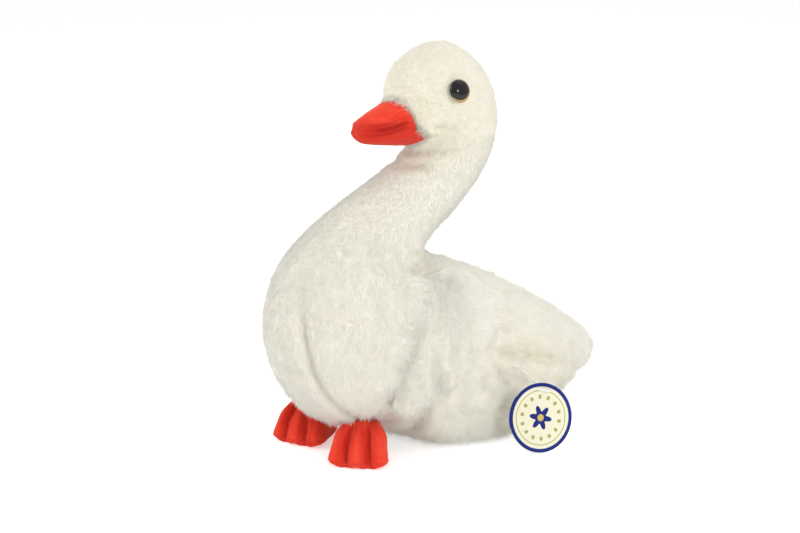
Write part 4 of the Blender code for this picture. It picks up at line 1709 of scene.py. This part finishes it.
    def fringe(
        self,
        piece: Object,
        pile: PileTree,
        over: Object,
        strands: Pile,
        flow: tuple[float, float, float],
        limits: tuple[float, float],
    ) -> None:
        """Comb a ragged fringe of the body's pile over the edge of a piece that is sewn on.

        Args:
            piece: The combed body.
            pile: The tree that grows the strands.
            over: The piece that they lie over.
            strands: The field of pile.
            flow: The way that they are brushed, besides towards the piece.
            limits: The Y in front of which they grow, and the Z above which they grow.
        """
        mesh = piece.data
        points, normals = read_points(mesh), read_points(mesh, "normal")
        surface = surface_of(over.data)
        gap = signed_distance(points, surface)
        share = smooth_step(gap, -0.0012, -0.0002) * smooth_step(-gap, -0.0034, -0.0012)
        share *= (points[:, 1] < limits[0]) * (points[:, 2] > limits[1])
        toward = unit(np.array([surface.find_nearest(Vector(p))[0] for p in points]) - points)
        brushed = unit(np.array(flow) + 0.5 * toward)
        lay, length = (read_attribute(mesh, name) for name in ("pile_lay", "pile_length"))
        write_attribute(mesh, "pile_lay", brushed * 1.2 - 0.5 * normals)
        write_attribute(mesh, "pile_length", np.full(len(points), self.fringe_length))
        strands.grow(pile, piece, share)
        write_attribute(mesh, "pile_lay", lay)
        write_attribute(mesh, "pile_length", length)

    def fringes(
        self, piece: Object, pile: PileTree, beak: Object, wings: list[Object]
    ) -> None:
        """Comb the face's pile over the beak's root and the breast's over the front of the wings.

        Args:
            piece: The combed body.
            pile: The tree that grows the strands.
            beak: The beak.
            wings: The wings.
        """
        ragged = Pile("pile_fringe", 4_000, 0.6, 2.6, 0.0030, 2.4, 0.35, 0.00015, 13)
        self.fringe(piece, pile, beak, ragged, (0.0, -1.0, 0.0), (0.014, 0.184))
        for side, wing in zip(Side, wings):
            edge = Pile(f"pile_edge_{side.word}", 6_000, 1.0, 1.6, 0.0050, 1.2, 0.35, 0.00015, 17, 0.9)
            self.fringe(piece, pile, wing, edge, (0.7 * side.value, 0.8, -0.3), (-0.004, 0.030))

    def dress(self, piece: Object, pile: PileTree, grows: np.ndarray) -> None:
        """Grow the pile in four fields: head, breast, flanks and rump.

        Args:
            piece: The combed body.
            pile: The tree that grows the strands.
            grows: Where they grow, from 0 to 1 at each vertex.
        """
        points = read_points(piece.data)
        height, back = points[:, 2], points[:, 1]
        upper = smooth_step(height, 0.138, 0.142)
        front = (1 - upper) * smooth_step(-back, 0.028, 0.032)
        rump = (1 - upper) * smooth_step(back, 0.048, 0.052)
        middle = np.clip(1 - upper - front - rump, 0, 1)
        fields = (
            (Pile("pile_head", 54_000, clump=1.6, tuft=0.0040, ruffle=1.2, radius=0.00013, seed=3), upper),
            (Pile("pile_breast", 50_000, clump=1.6, tuft=0.0055, ruffle=1.1, seed=5), front),
            (Pile("pile_flanks", 46_000, clump=2.2, tuft=0.0075, ruffle=1.6, seed=7), middle),
            (Pile("pile_rump", 46_000, clump=2.2, tuft=0.0080, ruffle=1.6, seed=9), rump),
        )
        for field_of_pile, share in fields:
            field_of_pile.grow(pile, piece, share * grows)


@dataclass
class HangTag:
    """A folded oval card, punched near its top for the fastener.

    Attributes:
        card: The card's thickness.
        steps: How many corners its outline has.
        hole: The punched hole's radius.
        hole_inset: How far the hole lies below the card's top.
        curl: How far the card's lower edge curls forward.
        bevel: How far the card's edge is worn round.
    """

    card: float = 0.0005
    steps: int = 72
    hole: float = 0.0010
    hole_inset: float = 0.0045
    curl: float = 0.0006
    bevel: float = 0.00012

    def __post_init__(self) -> None:
        """Read the card's place, facing and size from the frame."""
        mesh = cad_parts["hang_tag"].data
        largest = max(mesh.polygons, key=lambda face: face.area)
        self.facing = largest.normal.copy()
        if self.facing.y > 0:
            self.facing.negate()
        points = np.unique(read_points(mesh).round(6), axis=0)
        low, high = points.min(axis=0), points.max(axis=0)
        self.centre = Vector((low + high) / 2)
        flat = points - np.array(self.centre)
        flat = flat - (flat @ np.array(self.facing))[:, None] * np.array(self.facing)
        _, axes = np.linalg.eigh(np.cov(flat.T))
        self.up = Vector(axes[:, 2] * math.copysign(1.0, axes[2, 2]))
        self.across = self.up.cross(self.facing).normalized()
        self.half_long = float(np.abs(flat @ np.array(self.up)).max())
        self.half_wide = float(np.abs(flat @ np.array(self.across)).max())
        depth = (points - np.array(self.centre)) @ np.array(self.facing)
        self.half_thick = float(np.abs(depth).max())

    def leaf(self, shape: bmesh.types.BMesh, front: bool) -> None:
        """Add one leaf of the card, its hole left open.

        Args:
            shape: The mesh being made.
            front: Whether it is the front leaf.
        """
        rings = []
        top = (1 - self.hole_inset / self.half_long) * self.half_long
        outer = self.half_thick if front else -self.half_thick + self.card
        inner = outer - self.card
        shares = (0.25, 0.5, 0.75, 0.97)
        across = [(0, inner), (0, outer), *((share, outer) for share in shares), (1, outer - self.bevel)]
        across += [(1, inner + self.bevel), *((share, inner) for share in reversed(shares))]
        for share, depth in across:
            ring = []
            for k in range(self.steps):
                turn = 2 * math.pi * k / self.steps
                edge = Vector((self.half_wide * math.cos(turn), self.half_long * math.sin(turn)))
                hub = Vector((self.hole * math.cos(turn), top + self.hole * math.sin(turn)))
                flat = hub.lerp(edge, share)
                bend = self.curl * min(0.0, flat.y / self.half_long) ** 2 * (1.6 if front else 0.4)
                ring.append(shape.verts.new((flat.x, flat.y, depth + bend)))
            rings.append(ring)
        bridge(shape, rings + rings[:1])

    def fold(self, shape: bmesh.types.BMesh) -> None:
        """Add the bent strip that joins the two leaves along one side.

        Args:
            shape: The mesh being made.
        """
        reach = math.radians(28)
        thick, inside = self.half_thick, self.half_thick - self.card
        profile = ((-0.0006, thick), (0.0003, thick * 0.55), (0.0003, -thick * 0.55), (-0.0006, -thick))
        profile += ((-0.0012, -inside), (-0.0012, inside))
        rows = []
        for k in range(13):
            turn = math.pi - reach + 2 * reach * k / 12
            edge = Vector((self.half_wide * math.cos(turn), self.half_long * math.sin(turn)))
            places = [(edge + edge.normalized() * out, depth) for out, depth in profile]
            rows.append([shape.verts.new((*place, depth)) for place, depth in places])
        bridge(shape, rows)
        shape.faces.new(rows[0])
        shape.faces.new(rows[-1])

    def build(self, finish: Material) -> None:
        """Build the card.

        Args:
            finish: The card's finish.
        """
        shape = bmesh.new()
        self.leaf(shape, True)
        self.leaf(shape, False)
        self.fold(shape)
        bmesh.ops.recalc_face_normals(shape, faces=shape.faces)
        mesh = mesh_of(shape, "hang_tag_card")
        local = read_points(mesh)
        write_attribute(mesh, "card_across", local[:, 0] / self.half_wide)
        write_attribute(mesh, "card_up", local[:, 1] / self.half_long)
        turn = Matrix((self.across, self.up, self.facing)).transposed().to_4x4()
        mesh.transform(Matrix.Translation(self.centre) @ turn)
        piece = add_piece("hang_tag_card", mesh, finish)
        mesh.set_sharp_from_angle(angle=math.radians(40))
        declare(piece, Slot.CARD, "hang_tag")


# Studio


@dataclass(frozen=True)
class AreaLamp:
    """A soft lamp that looks at the swan.

    Attributes:
        name: The lamp's name.
        place: Where it hangs.
        size: The length of its side.
        power: Its power in watts.
    """

    name: str
    place: tuple[float, float, float]
    size: float
    power: float

    def hang(self, target: Vector) -> None:
        """Hang the lamp.

        Args:
            target: The place that it is turned to.
        """
        lamp = bpy.data.lights.new(self.name, "AREA")
        lamp.size = self.size
        lamp.energy = self.power
        holder = bpy.data.objects.new(self.name, lamp)
        holder.location = self.place
        holder.rotation_euler = (target - Vector(self.place)).to_track_quat("-Z", "Y").to_euler()
        bpy.context.scene.collection.objects.link(holder)


@dataclass
class Studio:
    """A pale floor and backdrop, soft lamps and the camera.

    Attributes:
        azimuth: The camera's angle round the swan.
        elevation: Its angle above the horizon.
        distance: How far it stands from its target.
        lens: Its focal length, on a sensor of the usual width.
        target: What it looks at.
        ambient: The strength of the light from all round.
        glow: How much the floor is lifted towards white, for the camera alone.
        clearing: How far from the swan the floor starts and ends turning white.
        bounce: How much soft light the floor sends up.
    """

    azimuth: float = math.radians(50)
    elevation: float = math.radians(12)
    distance: float = 1.0
    lens: float = 72.0
    target: Vector = field(default_factory=lambda: Vector((0.0, 0.0, 0.110)))
    ambient: float = 0.98
    glow: float = 0.46
    clearing: tuple[float, float] = (0.16, 0.50)
    bounce: float = 0.22
    lamps: tuple[AreaLamp, ...] = (
        AreaLamp("key", (-0.60, -1.20, 0.90), 0.6, 4.4),
        AreaLamp("fill", (1.50, -0.20, 0.70), 0.30, 5.8),
        AreaLamp("top", (0.30, 0.60, 1.60), 1.2, 2.2),
    )

    def camera(self) -> None:
        """Place the camera."""
        flat = math.cos(self.elevation)
        turned = (math.sin(self.azimuth) * flat, -math.cos(self.azimuth) * flat, math.sin(self.elevation))
        back = Vector(turned)
        camera = bpy.data.cameras.new("camera")
        camera.lens = self.lens
        camera.clip_start = 0.01
        holder = bpy.data.objects.new("camera", camera)
        holder.location = self.target + back * self.distance
        holder.rotation_euler = (-back).to_track_quat("-Z", "Y").to_euler()
        bpy.context.scene.collection.objects.link(holder)
        bpy.context.scene.camera = holder

    def seen(self, tree: Tree) -> Socket:
        """Read where a ray comes from the camera, a gloss or a clear thing.

        Args:
            tree: The material's tree.

        Returns:
            1 there, and 0 elsewhere.
        """
        rays = tree.add("ShaderNodeLightPath").outputs
        some = tree.math("MAXIMUM", rays["Is Camera Ray"], rays["Is Glossy Ray"])
        return tree.math("MAXIMUM", some, rays["Is Transmission Ray"])

    def world(self) -> None:
        """Make the surroundings: white where seen, and an even soft light."""
        world = bpy.data.worlds.new("surroundings")
        world.use_nodes = True
        bpy.context.scene.world = world
        tree = Tree(world.node_tree)
        levels = [{"Color": (1.0, 1.0, 1.0, 1.0), "Strength": level} for level in (self.ambient, 1.0)]
        light, white = (tree.out("ShaderNodeBackground", level) for level in levels)
        seen = tree.add("ShaderNodeLightPath").outputs["Is Camera Ray"]
        mixed = tree.out("ShaderNodeMixShader", {0: seen, 1: light, 2: white})
        tree.add("ShaderNodeOutputWorld", {"Surface": mixed})

    def floor(self) -> None:
        """Lay the floor."""
        shape = bmesh.new()
        bmesh.ops.create_grid(shape, x_segments=2, y_segments=2, size=4.0)
        mesh = mesh_of(shape, "studio_floor")
        material = bpy.data.materials.new("studio_floor")
        material.use_nodes = True
        tree = Tree(material.node_tree)
        matt = tree.out("ShaderNodeBsdfDiffuse", {"Color": (0.90, 0.90, 0.90, 1.0)})
        far = tree.band(tree.vector_length(tree.place()), *self.clearing)
        lifted = tree.math("ADD", self.glow, tree.math("MULTIPLY", far, 1.0 - self.glow))
        glow = tree.math("MAXIMUM", tree.math("MULTIPLY", self.seen(tree), lifted), self.bounce)
        lift = tree.out("ShaderNodeEmission", {"Color": (1.0, 1.0, 1.0, 1.0), "Strength": glow})
        both = tree.out("ShaderNodeAddShader", {0: matt, 1: lift})
        tree.add("ShaderNodeOutputMaterial", {"Surface": both})
        add_piece("studio_floor", mesh, material)

    def build(self) -> None:
        """Build the studio."""
        self.camera()
        self.world()
        self.floor()
        for lamp in self.lamps:
            lamp.hang(self.target)
        bpy.context.scene.view_settings.view_transform = "Standard"


def dress_node(name: str, material: Material) -> None:
    """Give one of the frame's own solids its finish.

    Args:
        name: The solid's node.
        material: The finish.
    """
    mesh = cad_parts[name].data
    mesh.materials.clear()
    mesh.materials.append(material)


def main() -> None:
    """Build the swan and its studio."""
    logging.basicConfig(level=logging.INFO, format="%(name)s %(message)s")
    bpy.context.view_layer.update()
    Studio().build()

    ground = PileGround().make()
    velour = VelourFinish().make()
    thread = MouldedFinish("red_thread", (0.55, 0.030, 0.014), 0.7).make()
    pile = PileTree(
        StrandFinish("strand_white", (0.985, 0.962, 0.862)).make(),
        StrandFinish("strand_soft", (0.955, 0.926, 0.800)).make(),
        StrandFinish("strand_cream", (0.930, 0.868, 0.690)).make(),
    )
    stitches = StitchTree(thread)

    eyes = [Eye(side) for side in Side]
    eye_finish = EyeFinish().make()
    for eye in eyes:
        eye.build(eye_finish)
    beak = Beak().build(velour)
    feet = [
        Foot(Side.LEFT, (0.0113, -0.0354), math.radians(40)).build(velour, stitches),
        Foot(Side.RIGHT, (-0.0374, -0.0300), math.radians(-18)).build(velour, stitches),
    ]
    wings = [Wing(side).build(ground, pile) for side in Side]

    body = Body()
    piece = body.build(ground, beak, wings)
    body.comb(piece, eyes, beak, wings)
    body.dress(piece, pile, body.bare(piece, eyes, [beak, *feet, *wings]))
    body.fringes(piece, pile, beak, wings)
    body.bag.declare(piece, Slot.PILE)

    HangTag().build(CardFinish().make())
    washer = MouldedFinish("washer_plastic", (0.80, 0.80, 0.78), 0.5).make()
    for side in Side:
        dress_node("eye_washer_" + side.word, washer)
    dress_node("tag_fastener", MouldedFinish("nylon_strand", (0.84, 0.84, 0.83), 0.25).make())


if __name__ == "__main__":
    main()
